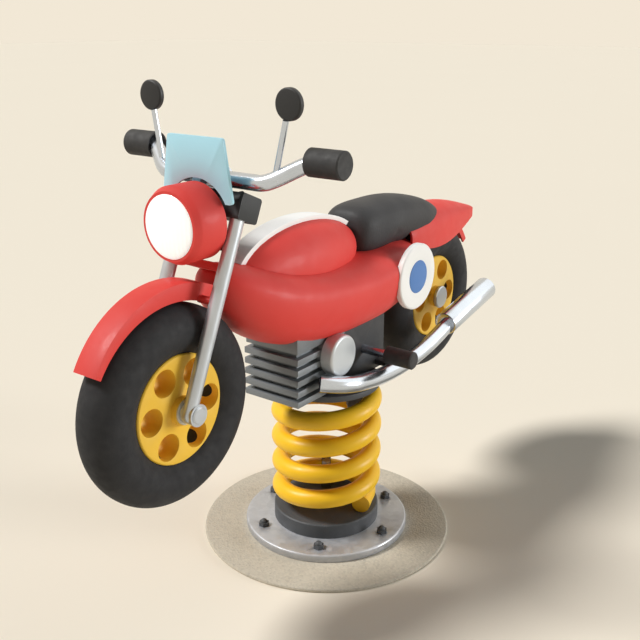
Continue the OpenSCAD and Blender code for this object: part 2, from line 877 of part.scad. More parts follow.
module chassis_box() {
    box_len = chassis_rear_y - chassis_front_y;
    cell_len = (box_len - 3 * chassis_wall) / 2;
    color("gray")
    on_deck() difference() {
        translate([-chassis_half_w, chassis_front_y, 0])
            cube([2 * chassis_half_w, box_len, chassis_h]);
        for (i = [0, 1])
            translate([-chassis_half_w + chassis_wall,
                chassis_front_y + chassis_wall + i * (cell_len + chassis_wall),
                floor_t])
                cube([2 * (chassis_half_w - chassis_wall), cell_len,
                    chassis_h]);
        translate([0, peg_y, peg_z])
            along_x(-peg_half_w, peg_half_w, peg_r + fit_gap);
        translate([0, 0, -cut_over])
            cap_bolt_ring()
                cylinder(h = floor_t + 2 * cut_over, r = bolt_r + fit_gap);
    }
}
module engine_block() {
    color("slategray")
    on_deck() difference() {
        union() {
            for (i = [0 : fin_count - 1])
                translate([-fin_half_w, engine_front_y,
                    engine_gap + i * fin_pitch])
                    cube([2 * fin_half_w, fin_len, fin_t]);
            translate([-barrel_half_w, barrel_front_y, engine_gap])
                cube([2 * barrel_half_w, chassis_front_y - barrel_front_y,
                    head_z - engine_gap]);
            translate([0, crank_y, crank_z]) along_x(-boss_x, boss_x, boss_r);
        }
        chassis_room(0);
    }
}
module cylinder_head() {
    color("slategray")
    on_deck() difference() {
        translate([-head_half_w, head_front_y, head_z])
            cube([2 * head_half_w, chassis_front_y - head_front_y, head_h]);
        translate([0, crank_y, crank_z])
            along_x(-fin_half_w, fin_half_w, boss_r + fit_gap);
    }
}
module crank_cover() {
    inner_r = crank_r - crank_round;
    inner_h = crank_depth - crank_round;
    rotate([0, 90, 0])
    rotate_extrude() {
        square([crank_r, inner_h]);
        square([inner_r, crank_depth]);
        intersection() {
            translate([inner_r, inner_h]) circle(r = crank_round);
            translate([0, inner_h]) square([crank_r, crank_round]);
        }
    }
}
module crank_cover_left() {
    color("silver")
    on_deck() translate([boss_x, crank_y, crank_z]) crank_cover();
}
module crank_cover_right() {
    color("silver")
    on_deck() translate([-boss_x, crank_y, crank_z])
        mirror([1, 0, 0]) crank_cover();
}
module footpeg_bar() {
    end_x = peg_half_w - peg_rubber_len / 4;
    color("silver")
    on_deck() translate([0, peg_y, peg_z]) along_x(-end_x, end_x, peg_r);
}
module peg_rubber() {
    bore = peg_rubber_len * 3 / 4;
    difference() {
        rotate([0, 90, 0]) puck(peg_rubber_r, peg_rubber_len, edge);
        along_x(-cut_over, bore, peg_r + fit_gap);
    }
}
module footpeg_rubber_left() {
    color("black")
    on_deck() translate([peg_half_w - peg_rubber_len, peg_y, peg_z])
        peg_rubber();
}
module footpeg_rubber_right() {
    color("black")
    on_deck() translate([peg_rubber_len - peg_half_w, peg_y, peg_z])
        mirror([1, 0, 0]) peg_rubber();
}
module pipe_arc(r) {
    translate([pipe_x, pipe_low_y, pipe_centre_z])
        rotate([0, 90, 0])
            rotate([0, 0, -pipe_join_deg])
                rotate_extrude(angle = pipe_join_deg + pipe_rear_deg, $fn = 512)
                    translate([pipe_bend_r, 0]) circle(r = r, $fn = 64);
}
module pipe_elbow(r) {
    translate([pipe_x - elbow_r, pipe_join_y, pipe_z_at(pipe_join_y)])
        rotate([180 - pipe_join_deg, 0, 0])
            rotate([0, 0, -weld_deg])
                rotate_extrude(angle = elbow_deg + weld_deg, $fn = 256)
                    translate([elbow_r, 0]) circle(r = r, $fn = 64);
}
module muffler_frame() {
    translate([pipe_x, muffler_front_y, muffler_front_z])
        rotate([muffler_tilt - 90, 0, 0]) children();
}
module exhaust_pipe() {
    color("lightgray")
    on_deck() {
        difference() {
            pipe_arc(pipe_r);
            pipe_arc(pipe_r - pipe_wall);
        }
        difference() {
            pipe_elbow(pipe_r - weld_step);
            pipe_elbow(pipe_r - pipe_wall + weld_step);
        }
    }
}
module muffler() {
    color("lightgray")
    on_deck() difference() {
        muffler_frame() difference() {
            puck(muffler_r, muffler_len, edge);
            translate([0, 0, muffler_len - muffler_r])
                cylinder(h = muffler_len, r = muffler_r * tail_bore_share);
        }
        pipe_arc(pipe_r + fit_gap);
    }
}
module exhaust_bracket(y, z, from_x, to_x) {
    translate([from_x, y - bracket_half_l, z - bracket_half_h])
        cube([to_x - from_x, 2 * bracket_half_l, 2 * bracket_half_h]);
}
module exhaust_bracket_front() {
    color("gray")
    on_deck() difference() {
        exhaust_bracket(bracket_front_y, elbow_z_at(bracket_front_y),
            fin_half_w, elbow_x_at(bracket_front_y));
        pipe_elbow(pipe_r + fit_gap);
    }
}
module exhaust_bracket_rear() {
    color("gray")
    on_deck() difference() {
        exhaust_bracket(bracket_rear_y, pipe_z_at(bracket_rear_y),
            chassis_half_w, pipe_x);
        pipe_arc(pipe_r + fit_gap);
    }
}

module body_form(grow) {
    skin([
        for (i = [0 : body_rings])
            let (
                u = ring_share(i, body_rings),
                f = swell(u, body_len_power),
                reach = u < 0 ? body_mid_y - body_front_y
                    : body_rear_y - body_mid_y,
                y = body_mid_y + u * (reach + grow),
                up = body_up + (u < 0 ? nose_up * u * u : 0),
                z = body_mid_z + (u < 0 ? nose_rise * pow(-u, nose_power)
                    : rump_rise * u * u)
            )
            [
                for (p = oval(body_half_w * f + grow, up * f + grow,
                    body_down * f + grow, body_section_power, body_sides))
                    [p.x, y, z + p.y]
            ]
    ]);
}
module tank_form(grow) {
    skin([
        for (i = [0 : tank_rings])
            let (
                u = ring_share(i, tank_rings),
                f = swell(u, round_power),
                y = tank_y + u * (tank_half_len + grow)
            )
            [
                for (p = oval(tank_half_w * f + grow, tank_half_h * f + grow,
                    tank_half_h * f + grow, round_power, tank_sides))
                    [p.x, y, tank_z + p.y]
            ]
    ]);
}
module seat_form() {
    skin([
        for (i = [0 : seat_rings])
            let (
                u = ring_share(i, seat_rings),
                f = swell(u, u < 0 ? seat_front_power : seat_rear_power),
                reach = u < 0 ? seat_mid_y - seat_front_y
                    : seat_rear_y - seat_mid_y,
                y = seat_mid_y + u * reach,
                z = seat_mid_z - (u < 0 ? 0 : seat_drop * u * u)
            )
            [
                for (p = oval(seat_half_w * f, seat_up * f, seat_down * f,
                    seat_section_power, seat_sides))
                    [p.x, y, z + p.y]
            ]
    ]);
}
// Height of the tail crown: a curve through its three heights
function tail_crown(u) =
    tail_front_z * (1 - u) * (1 - 2 * u) + 4 * tail_top_z * u * (1 - u)
    + tail_rear_z * u * (2 * u - 1);
function tail_skirt(u) = skirt_end + (skirt_mid - skirt_end) * sin(180 * u);
module tail_form(grow, below, rear_grow) {
    front_y = tail_front_y - max(0, below);
    rear_y = tail_rear_y + rear_grow;
    skin([
        for (i = [0 : tail_steps])
            let (
                u = i / tail_steps,
                w = tail_front_w + (tail_rear_w - tail_front_w) * u * u + grow,
                crease = crease_front_z + (crease_rear_z - crease_front_z) * u,
                low = crease - tail_skirt(u) - below
            )
            concat(
                [for (k = [0 : tail_arc_steps])
                    let (a = 180 * k / tail_arc_steps)
                    [w * cos(a), front_y + (rear_y - front_y) * u,
                        crease + (tail_crown(u) + grow - crease) * sin(a)]],
                [[-w, front_y + (rear_y - front_y) * u, low],
                    [w, front_y + (rear_y - front_y) * u, low]]
            )
    ]);
}
module wheel_arch(y, z) {
    translate([0, y, z])
        along_x(-arch_half_w, arch_half_w, tyre_r + arch_gap);
}
module body_shell() {
    color("red")
    on_deck() difference() {
        body_form(0);
        wheel_arch(front_axle_y, front_axle_z);
        wheel_arch(rear_axle_y, rear_axle_z);
        chassis_room(cut_over);
        translate([-fin_half_w - skin_gap, engine_front_y - skin_gap, 0])
            cube([2 * (fin_half_w + skin_gap), fin_len + skin_gap,
                fins_top + skin_gap]);
        arm_plate(skin_gap);
        translate([-head_half_w - skin_gap, head_front_y - skin_gap, 0])
            cube([2 * (head_half_w + skin_gap), fin_len + skin_gap,
                head_z + head_h + skin_gap]);
        translate([0, crank_y, crank_z])
            along_x(-cover_x, cover_x, crank_r + skin_gap);
    }
}
module fuel_tank() {
    color("red")
    on_deck() difference() {
        tank_form(0);
        body_form(skin_gap);
    }
}
function stripe_arc(grow, a) = [
    tank_y + (tank_half_len + grow) * cos(a),
    tank_z + (tank_half_h + grow) * sin(a)
];
module stripe_band(grow) {
    span = stripe_front_deg - stripe_rear_deg;
    angles = [
        for (i = [0 : stripe_steps])
            stripe_rear_deg + span * i / stripe_steps
    ];
    width = stripe_w + 2 * grow;
    translate([-width / 2, 0, 0])
        rotate([90, 0, 90])
            linear_extrude(width)
                polygon(concat(
                    [for (a = angles) stripe_arc(stripe_t + grow, a)],
                    [for (i = [stripe_steps : -1 : 0])
                        stripe_arc(-stripe_sink, angles[i])]
                ));
}
module tank_stripe() {
    color("white")
    on_deck() difference() {
        stripe_band(0);
        tank_form(skin_gap);
        body_form(skin_gap);
    }
}
module side_disc() {
    difference() {
        union() {
            translate([disc_x - disc_t, disc_y, disc_z])
                rotate([0, 90, 0]) puck(disc_r, disc_t, edge);
            translate([0, disc_y, disc_z])
                along_x(disc_x - 3 * disc_t, disc_x - disc_t, centre_r);
        }
        translate([0, disc_y, disc_z])
            along_x(disc_x - centre_t, disc_x + cut_over, centre_r + fit_gap);
        body_form(skin_gap);
    }
}
module disc_centre() {
    translate([disc_x - centre_t, disc_y, disc_z])
        rotate([0, 90, 0]) puck(centre_r, centre_t + centre_proud, edge / 2);
}
module side_disc_left() {
    color("white") on_deck() side_disc();
}
module side_disc_right() {
    color("white") on_deck() mirror([1, 0, 0]) side_disc();
}
module disc_centre_left() {
    color("steelblue") on_deck() disc_centre();
}
module disc_centre_right() {
    color("steelblue") on_deck() mirror([1, 0, 0]) disc_centre();
}
module seat_cushion() {
    color("dimgray")
    on_deck() difference() {
        seat_form();
        body_form(skin_gap);
        tank_form(skin_gap);
        tail_form(skin_gap, 0, 0);
        stripe_band(skin_gap);
        wheel_arch(rear_axle_y, rear_axle_z);
    }
}
module tail_cowl() {
    color("red")
    on_deck() difference() {
        tail_form(0, 0, 0);
        tail_form(-tail_wall, tail_wall, -tail_wall);
        body_form(skin_gap);
    }
}

// Channel over a tyre between two angles, skin outside and two side walls
module guard_shape(outer_r, shift, from_deg, to_deg) {
    inner_r = tyre_r + guard_gap;
    reach = 2 * outer_r;
    rotate([90, 0, 90])
    difference() {
        translate([0, 0, -guard_half_w])
        linear_extrude(2 * guard_half_w)
            intersection() {
                difference() {
                    translate([shift, shift]) circle(r = outer_r, $fn = 128);
                    circle(r = inner_r, $fn = 128);
                }
                polygon([
                    [0, 0],
                    reach * [cos(from_deg), sin(from_deg)],
                    reach * [cos((from_deg + to_deg) / 2),
                        sin((from_deg + to_deg) / 2)],
                    reach * [cos(to_deg), sin(to_deg)]
                ]);
            }
        translate([0, 0, -guard_half_w + guard_skin])
        linear_extrude(2 * (guard_half_w - guard_skin))
            translate([shift, shift]) circle(r = outer_r - guard_skin, $fn = 128);
    }
}
module rear_mudguard() {
    post_y = rear_axle_y + rear_guard_r * cos(post_deg);
    post_z = rear_axle_z + rear_guard_r * sin(post_deg);
    color("red")
    on_deck() {
        translate([0, rear_axle_y, rear_axle_z])
            guard_shape(rear_guard_r, 0, rear_guard_end_deg, rear_guard_top_deg);
        difference() {
            translate([0, post_y, post_z - guard_skin])
                cylinder(h = tail_top_z - post_z + tail_wall, r = stay_r);
            difference() {
                translate([0, tail_front_y - tail_wall, 0])
                    translate([-tail_front_w, 0, rear_axle_z])
                        cube([2 * tail_front_w, tail_rear_y, tail_top_z]);
                tail_form(-tail_wall - skin_gap, tail_wall, -tail_wall);
            }
        }
    }
}
module arm_plate(grow) {
    translate([arm_x - grow, 0, 0])
    rotate([90, 0, 90])
    linear_extrude(arm_t + 2 * grow) {
        polygon([
            [arm_front_y - grow, rear_axle_z - arm_half_h - grow],
            [rear_axle_y, rear_axle_z - arm_tip_half_h - grow],
            [rear_axle_y, rear_axle_z + arm_tip_half_h + grow],
            [arm_front_y - grow, rear_axle_z + arm_half_h + grow]
        ]);
        translate([rear_axle_y, rear_axle_z]) circle(r = arm_boss_r + grow);
    }
}
module swingarm() {
    color("gray")
    on_deck() difference() {
        arm_plate(0);
        translate([0, rear_axle_y, rear_axle_z])
            along_x(arm_x - cut_over, arm_x + arm_t + cut_over, axle_r + press_gap);
    }
}
module rear_axle() {
    color("silver")
    on_deck() translate([0, rear_axle_y, rear_axle_z]) {
        along_x(arm_x, hub_cap_x, axle_r);
        translate([hub_cap_x, 0, 0])
            rotate([0, 90, 0]) puck(hub_cap_r, hub_cap_t, edge);
        along_x(-chassis_half_w, -hub_cap_x, rim_bore_r);
    }
}
// Wheel disc about the X axis, with a shallow groove that seats the tyre
module wheel_disc() {
    c = wheel_edge;
    difference() {
        rotate([0, 90, 0])
        rotate_extrude()
            difference() {
                polygon([
                    [rim_bore_r + press_gap, -hub_half_w],
                    [hub_r, -hub_half_w], [hub_r, -wheel_half_w],
                    [rim_r - c, -wheel_half_w], [rim_r, c - wheel_half_w],
                    [rim_r, wheel_half_w - c], [rim_r - c, wheel_half_w],
                    [hub_r, wheel_half_w], [hub_r, hub_half_w],
                    [rim_bore_r + press_gap, hub_half_w]
                ]);
                tyre_section(fit_gap);
            }
        for (i = [0 : hole_count - 1])
            rotate([turn_deg * (i + 0.5) / hole_count, 0, 0])
                translate([0, 0, hole_circle_r])
                    along_x(-hub_half_w, hub_half_w, hole_r);
    }
}
module tyre_section(grow) {
    for (s = [-1, 1])
        translate([tyre_centre_r, s * tread_half]) circle(r = tread_r + grow);
    translate([tyre_centre_r - tread_r - grow, -tread_half])
        square([2 * (tread_r + grow), 2 * tread_half]);
}
module tyre() {
    rotate([0, 90, 0]) rotate_extrude($fn = 96) tyre_section(0);
}
module bush_pair() {
    for (s = [0, 1]) mirror([s, 0, 0])
        rotate([0, 90, 0])
        rotate_extrude()
            polygon([
                [axle_r + run_gap, hub_half_w - bush_len],
                [rim_bore_r, hub_half_w - bush_len],
                [rim_bore_r, hub_half_w],
                [hub_r - flange_inset, hub_half_w],
                [hub_r - flange_inset, hub_half_w + flange_t],
                [axle_r + run_gap, hub_half_w + flange_t]
            ]);
}
module at_rear_axle() {
    on_deck() translate([0, rear_axle_y, rear_axle_z]) children();
}
module at_front_axle() {
    on_deck() translate([0, front_axle_y, front_axle_z]) children();
}
module rear_wheel_disc() {
    color("goldenrod") at_rear_axle() wheel_disc();
}
module rear_tyre() {
    color("black") at_rear_axle() tyre();
}
module rear_bushes() {
    color("gray") at_rear_axle() bush_pair();
}
module front_wheel_disc() {
    color("goldenrod") at_front_axle() wheel_disc();
}
module front_tyre() {
    color("black") at_front_axle() tyre();
}
module front_bushes() {
    color("gray") at_front_axle() bush_pair();
}
module front_axle() {
    color("silver")
    at_front_axle() {
        along_x(-lug_out_x, lug_out_x, axle_r);
        for (s = [0, 1]) mirror([s, 0, 0])
            translate([lug_out_x, 0, 0])
                rotate([0, 90, 0]) puck(axle_cap_r, axle_cap_t, edge);
    }
}
module fork_leg() {
    difference() {
        union() {
            fork_frame() translate([leg_x, 0, 0]) {
                cylinder(h = leg_len + leg_in_crown, r = leg_r);
                sphere(r = leg_r);
            }
            at_front_axle() along_x(lug_in_x, lug_out_x, lug_r);
        }
        at_front_axle()
            along_x(lug_in_x - cut_over, lug_out_x + cut_over, axle_r + fit_gap);
    }
}
module leg_cuts(gap) {
    for (s = [-1, 1])
        translate([s * leg_x, 0, 0])
            cylinder(h = leg_len + leg_in_crown + gap, r = leg_r + gap);
}
module fork_leg_left() {
    color("lightgray") fork_leg();
}
module fork_leg_right() {
    color("lightgray") mirror([1, 0, 0]) fork_leg();
}
module crown_section(round) {
    len_in = crown_front + crown_back - 2 * round;
    h_in = crown_h - 2 * round;
    translate([-crown_front, leg_len]) {
        translate([0, round]) square([len_in + 2 * round, h_in]);
        translate([round, 0]) square([len_in, h_in + 2 * round]);
        for (p = [[0, 0], [1, 0], [0, 1], [1, 1]])
            translate([round + p[0] * len_in, round + p[1] * h_in])
                circle(r = round);
    }
}
module crown_solid() {
    translate([-crown_half_w, 0, 0])
        rotate([90, 0, 90])
            linear_extrude(2 * crown_half_w) crown_section(crown_round);
}
module fork_crown() {
    color("dimgray")
    fork_frame() difference() {
        crown_solid();
        leg_cuts(fit_gap);
    }
}
module lower_yoke() {
    color("red")
    difference() {
        fork_frame() difference() {
            union() {
                translate([-leg_x, yoke_back, yoke_low])
                    cube([2 * leg_x, leg_r, yoke_h]);
                translate([-neck_half_w, yoke_back, yoke_low])
                    cube([2 * neck_half_w, neck_back, yoke_h]);
            }
            leg_cuts(fit_gap);
        }
        on_deck() body_form(skin_gap);
        on_deck() tank_form(skin_gap);
        lamp_room();
    }
}
module bar_form(grow) {
    tube([for (x = bar_xs) bar_at(x)], bar_r + grow, bar_sides, [0, 0, 1]);
}
module handlebar() {
    color("silver") on_deck() bar_form(0);
}
module handlebar_clamps() {
    color("gray")
    fork_frame()
    for (s = [-1, 1])
        translate([s * clamp_x - clamp_w / 2, -bar_front, 0])
            rotate([90, 0, 90])
                linear_extrude(clamp_w)
                    difference() {
                        union() {
                            translate([0, bar_along]) circle(r = clamp_r);
                            translate([-clamp_r, crown_top])
                                square([2 * clamp_r, bar_along - crown_top]);
                        }
                        translate([0, bar_along]) circle(r = bar_r + fit_gap);
                        translate([-2 * clamp_r, crown_top - 2 * clamp_r])
                            square([4 * clamp_r, 2 * clamp_r]);
                    }
}
module grip() {
    translate([bar_half_w - grip_len, bar_end.y, bar_end.z])
    rotate([0, 90, 0])
    difference() {
        puck(grip_r, grip_len, edge);
        translate([0, 0, -cut_over])
            cylinder(h = grip_len - grip_end + cut_over, r = bar_r + fit_gap);
        // Opening for the bend where the bar comes in from below
        translate([0, 0, -cut_over])
            cylinder(h = bar_bend_end - bar_half_w + grip_len + cut_over,
                r1 = grip_r - edge, r2 = bar_r + fit_gap);
    }
}
module grip_left() {
    color("black") on_deck() grip();
}
module grip_right() {
    color("black") on_deck() mirror([1, 0, 0]) grip();
}
module mirror_stalk() {
    foot_run = unit(bar_at(mirror_foot_x + stalk_r)
        - bar_at(mirror_foot_x - stalk_r));
    difference() {
        rod(bar_at(mirror_foot_x), mirror_pos, stalk_r);
        rod(bar_at(mirror_foot_x) - 3 * bar_r * foot_run,
            bar_at(mirror_foot_x) + 3 * bar_r * foot_run, bar_r + fit_gap);
        translate(mirror_pos)
            rotate([90, 0, 0])
                translate([0, 0, -mirror_t])
                    cylinder(h = 2 * mirror_t, r = mirror_r + fit_gap);
    }
}
module mirror_stalks() {
    color("silver")
    on_deck() for (s = [0, 1]) mirror([s, 0, 0]) mirror_stalk();
}
module mirror_head() {
    translate(mirror_pos + [0, mirror_t / 2, 0])
    rotate([90, 0, 0])
    difference() {
        puck(mirror_r, mirror_t, edge);
        translate([0, 0, -cut_over])
            cylinder(h = glass_t + cut_over, r = mirror_r - mirror_rim);
    }
}
module mirror_head_left() {
    color("dimgray") on_deck() mirror_head();
}
module mirror_head_right() {
    color("dimgray") on_deck() mirror([1, 0, 0]) mirror_head();
}
module mirror_glasses() {
    color("lightblue")
    on_deck() for (s = [0, 1]) mirror([s, 0, 0])
        translate(mirror_pos + [0, mirror_t / 2, 0])
            rotate([90, 0, 0])
                cylinder(h = glass_t, r = mirror_r - mirror_rim - fit_gap);
}
// Headlight about an axis that points forward from its back plate
module lamp_frame() {
    on_deck() translate([0, lamp_pos[0], lamp_pos[1]])
        rotate([90, 0, 0]) children();
}
module lamp_room() {
    lamp_frame()
        cylinder(h = lamp_len + lens_bulge + skin_gap, r = lamp_r + skin_gap);
    on_deck() translate([0, lamp_bar_pos[0], lamp_bar_pos[1]])
        along_x(-leg_x, leg_x, lamp_bar_r + skin_gap);
}
module headlight_shell() {
    back_r = lamp_r - lamp_bevel - lamp_wall;
    lip = lens_r + fit_gap;
    color("red")
    lamp_frame()
    rotate_extrude()
        polygon([
            [0, 0], [back_r, 0], [lamp_r, lamp_bevel * back_bevel_share],
            [lamp_r, lamp_len - lamp_bevel], [lip + lamp_wall, lamp_len],
            [lip, lamp_len], [lip, lamp_len - lens_t],
            [lip - lamp_wall, lamp_len - lens_t],
            [lip - lamp_wall, lamp_wall], [0, lamp_wall]
        ]);
}
module headlight_lens() {
    color("white")
    lamp_frame()
    translate([0, 0, lamp_len - lens_t])
    rotate_extrude()
        polygon(concat(
            [[0, 0], [lens_r, 0]],
            [for (i = [0 : lens_steps])
                [lens_r * cos(90 * i / lens_steps),
                    lens_t + lens_bulge * sin(90 * i / lens_steps)]]
        ));
}
module headlight_bracket() {
    color("gray")
    difference() {
        on_deck() translate([0, lamp_bar_pos[0], lamp_bar_pos[1]]) {
            along_x(-leg_x, leg_x, lamp_bar_r);
            rotate([90, 0, 0])
                cylinder(h = lamp_bar_pos[0] - lamp_pos[0], r = lamp_bar_r);
        }
        fork_frame() leg_cuts(fit_gap);
    }
}
// Corner arcs of the windscreen outline
function screen_corner(x, z, from_deg) = [
    for (i = [0 : corner_steps])
        let (a = from_deg + 90 * i / corner_steps)
        [x, z] + screen_round * [cos(a), sin(a)]
];
module windscreen() {
    low = screen_low_half_w - screen_round;
    top = screen_top_half_w - screen_round;
    high = screen_h - screen_round;
    color("lightblue")
    on_deck()
    difference() {
        translate([0, screen_pos[0], screen_pos[1]])
            rotate([90, 0, 0])
                linear_extrude(screen_t)
                    polygon(concat(
                        screen_corner(low, screen_round, -90),
                        screen_corner(top, high, 0),
                        screen_corner(-top, high, 90),
                        screen_corner(-low, screen_round, 180)
                    ));
        translate([0, screen_pos[0] + cut_over, lamp_pos[1]])
            rotate([90, 0, 0])
                cylinder(h = screen_t + 2 * cut_over, r = screen_cut_r);
    }
}
module windscreen_spacers() {
    color("gray")
    difference() {
        on_deck()
            for (s = [-1, 1])
                translate([s * spacer_x, screen_pos[0],
                    screen_pos[1] + spacer_up])
                    rotate([-90, 0, 0])
                        cylinder(h = screen_front, r = spacer_r);
        fork_frame() crown_solid();
        fork_frame()
            translate([-crown_half_w, 0, leg_len])
                cube([2 * crown_half_w, crown_back, crown_h]);
    }
}
module front_mudguard() {
    stay = fork_point(leg_stay_along, 0);
    color("red")
    difference() {
        union() {
            at_front_axle()
                guard_shape(front_guard_r, front_guard_shift,
                    front_guard_end_deg, front_guard_tip_deg);
            on_deck() for (s = [0, 1]) mirror([s, 0, 0])
                translate([0, stay[0], stay[1]])
                    along_x(guard_half_w - guard_skin / 2, leg_x, stay_r);
        }
        fork_frame() leg_cuts(fit_gap);
        lamp_room();
    }
}

ground_pad();
base_plate();
anchor_nuts();
lower_spring_cup();
lower_spring_clip();
lower_clip_bolt();
coil_spring();
upper_spring_cap();
upper_spring_clip();
upper_clip_bolt();
cap_bolts();
chassis_box();
engine_block();
cylinder_head();
crank_cover_left();
crank_cover_right();
footpeg_bar();
footpeg_rubber_left();
footpeg_rubber_right();
exhaust_pipe();
muffler();
exhaust_bracket_front();
exhaust_bracket_rear();
body_shell();
fuel_tank();
tank_stripe();
side_disc_left();
side_disc_right();
disc_centre_left();
disc_centre_right();
seat_cushion();
tail_cowl();
rear_mudguard();
swingarm();
rear_axle();
rear_wheel_disc();
rear_tyre();
rear_bushes();
front_axle();
front_wheel_disc();
front_tyre();
front_bushes();
fork_leg_left();
fork_leg_right();
fork_crown();
lower_yoke();
handlebar();
handlebar_clamps();
grip_left();
grip_right();
mirror_stalks();
mirror_head_left();
mirror_head_right();
mirror_glasses();
headlight_shell();
headlight_lens();
headlight_bracket();
windscreen();
windscreen_spacers();
front_mudguard();
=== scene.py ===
"""Looks of the motorcycle-shaped spring rider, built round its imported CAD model. Lengths are in metres."""

import json
import math

import bmesh
import bpy
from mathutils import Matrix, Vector


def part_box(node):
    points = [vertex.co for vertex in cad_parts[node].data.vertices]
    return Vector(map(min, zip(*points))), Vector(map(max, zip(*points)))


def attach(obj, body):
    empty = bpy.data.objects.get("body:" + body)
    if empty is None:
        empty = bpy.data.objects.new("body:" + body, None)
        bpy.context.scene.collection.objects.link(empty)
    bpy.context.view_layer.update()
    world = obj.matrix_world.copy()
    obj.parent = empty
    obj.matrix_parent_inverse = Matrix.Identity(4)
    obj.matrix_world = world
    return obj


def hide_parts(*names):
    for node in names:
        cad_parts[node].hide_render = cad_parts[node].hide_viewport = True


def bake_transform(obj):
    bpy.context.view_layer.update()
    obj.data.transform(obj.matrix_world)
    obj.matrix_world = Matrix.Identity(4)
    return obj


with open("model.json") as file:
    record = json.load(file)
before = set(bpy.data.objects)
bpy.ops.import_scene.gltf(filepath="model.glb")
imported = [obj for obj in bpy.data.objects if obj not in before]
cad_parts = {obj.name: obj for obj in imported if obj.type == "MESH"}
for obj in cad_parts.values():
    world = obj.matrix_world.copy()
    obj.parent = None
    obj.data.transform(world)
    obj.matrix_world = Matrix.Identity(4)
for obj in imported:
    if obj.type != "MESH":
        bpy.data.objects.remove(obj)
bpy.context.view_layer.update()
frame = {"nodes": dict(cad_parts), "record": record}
nodes = frame["nodes"]
scene = bpy.context.scene
MM = 0.001


# Colours, matched to the photograph by samples
def seen(red, green, blue):
    """Linear colour that shows as these screen values from 0 to 255."""
    linear = [((v / 255 + 0.055) / 1.055) ** 2.4 for v in (red, green, blue)]
    return (*linear, 1.0)


def shade(colour, factor):
    return (*[min(1.0, v * factor) for v in colour[:3]], 1.0)


BACKGROUND = seen(242, 232, 214)
RED = seen(222, 66, 60)
SPRING_YELLOW = seen(250, 198, 36)
WHEEL_YELLOW = seen(238, 190, 62)
WHITE = seen(250, 249, 246)
BLUE = seen(84, 130, 194)
SCREEN_BLUE = seen(184, 234, 250)
TYRE_GREY = seen(39, 39, 41)
SEAT_GREY = seen(57, 57, 59)
GRIP_GREY = seen(42, 42, 43)
CUP_GREY = seen(74, 76, 79)
CHASSIS_GREY = seen(57, 59, 62)
CROWN_GREY = seen(50, 52, 54)
FIN_GREY = seen(126, 131, 135)
STEEL = seen(188, 190, 195)
ZINC_STAIN = seen(150, 146, 138)
ALLOY = seen(195, 201, 208)
COVER_GREY = seen(208, 213, 216)
CHROME = seen(206, 214, 226)
NYLON = seen(220, 216, 204)
PAD_SAND = seen(197, 188, 170)
LENS_MILK = seen(246, 246, 242)
LENS_WHITE = seen(253, 253, 250)
# Colour of the painted glow of the headlight lens, which holds no lamp.
LENS_PAINTED_GLOW_COLOUR = (1.0, 1.0, 0.98, 1.0)

# Stretches of a noise's values over which a tone changes
BROAD = (0.3, 0.7)
MIDDLE = (0.35, 0.65)

# Worn edges: cosines between rounded and true normal where wear starts and is full, reach, strength
EDGE_COSINES = (0.98, 0.86)
EDGE_SAMPLES = 4
MOULD_EDGE = 1.5 * MM
MOULD_WEAR = 0.35
PAINT_EDGE = 1.2 * MM
PAINT_WEAR = 0.6
CAST_EDGE = 1.0 * MM
CAST_WEAR = 0.5

# Depths of the surface textures
MOULD_RIPPLE = 0.05 * MM
PAINT_PEBBLE = 0.08 * MM
PLATING_SCRATCH = 0.02 * MM
BRUSH_STREAK = 0.01 * MM
CAST_GRAIN = 0.12 * MM
ZINC_WAVE = 0.05 * MM
GRIP_GRAIN = 0.2 * MM
TYRE_GRAIN = 0.2 * MM
LEATHER_GRAIN = 0.28 * MM
PAD_CRUMB = 0.7 * MM
LENS_FLUTE = 0.15 * MM

# Cells and flutes per metre
ZINC_CRYSTALS = 90.0
PAD_CRUMBS = 260.0
LEATHER_PEBBLES = 330.0
LENS_FLUTES = 40.0
# Strength of the lens's painted glow: the lens emits light though no lamp is inside.
LENS_PAINTED_GLOW = 0.35


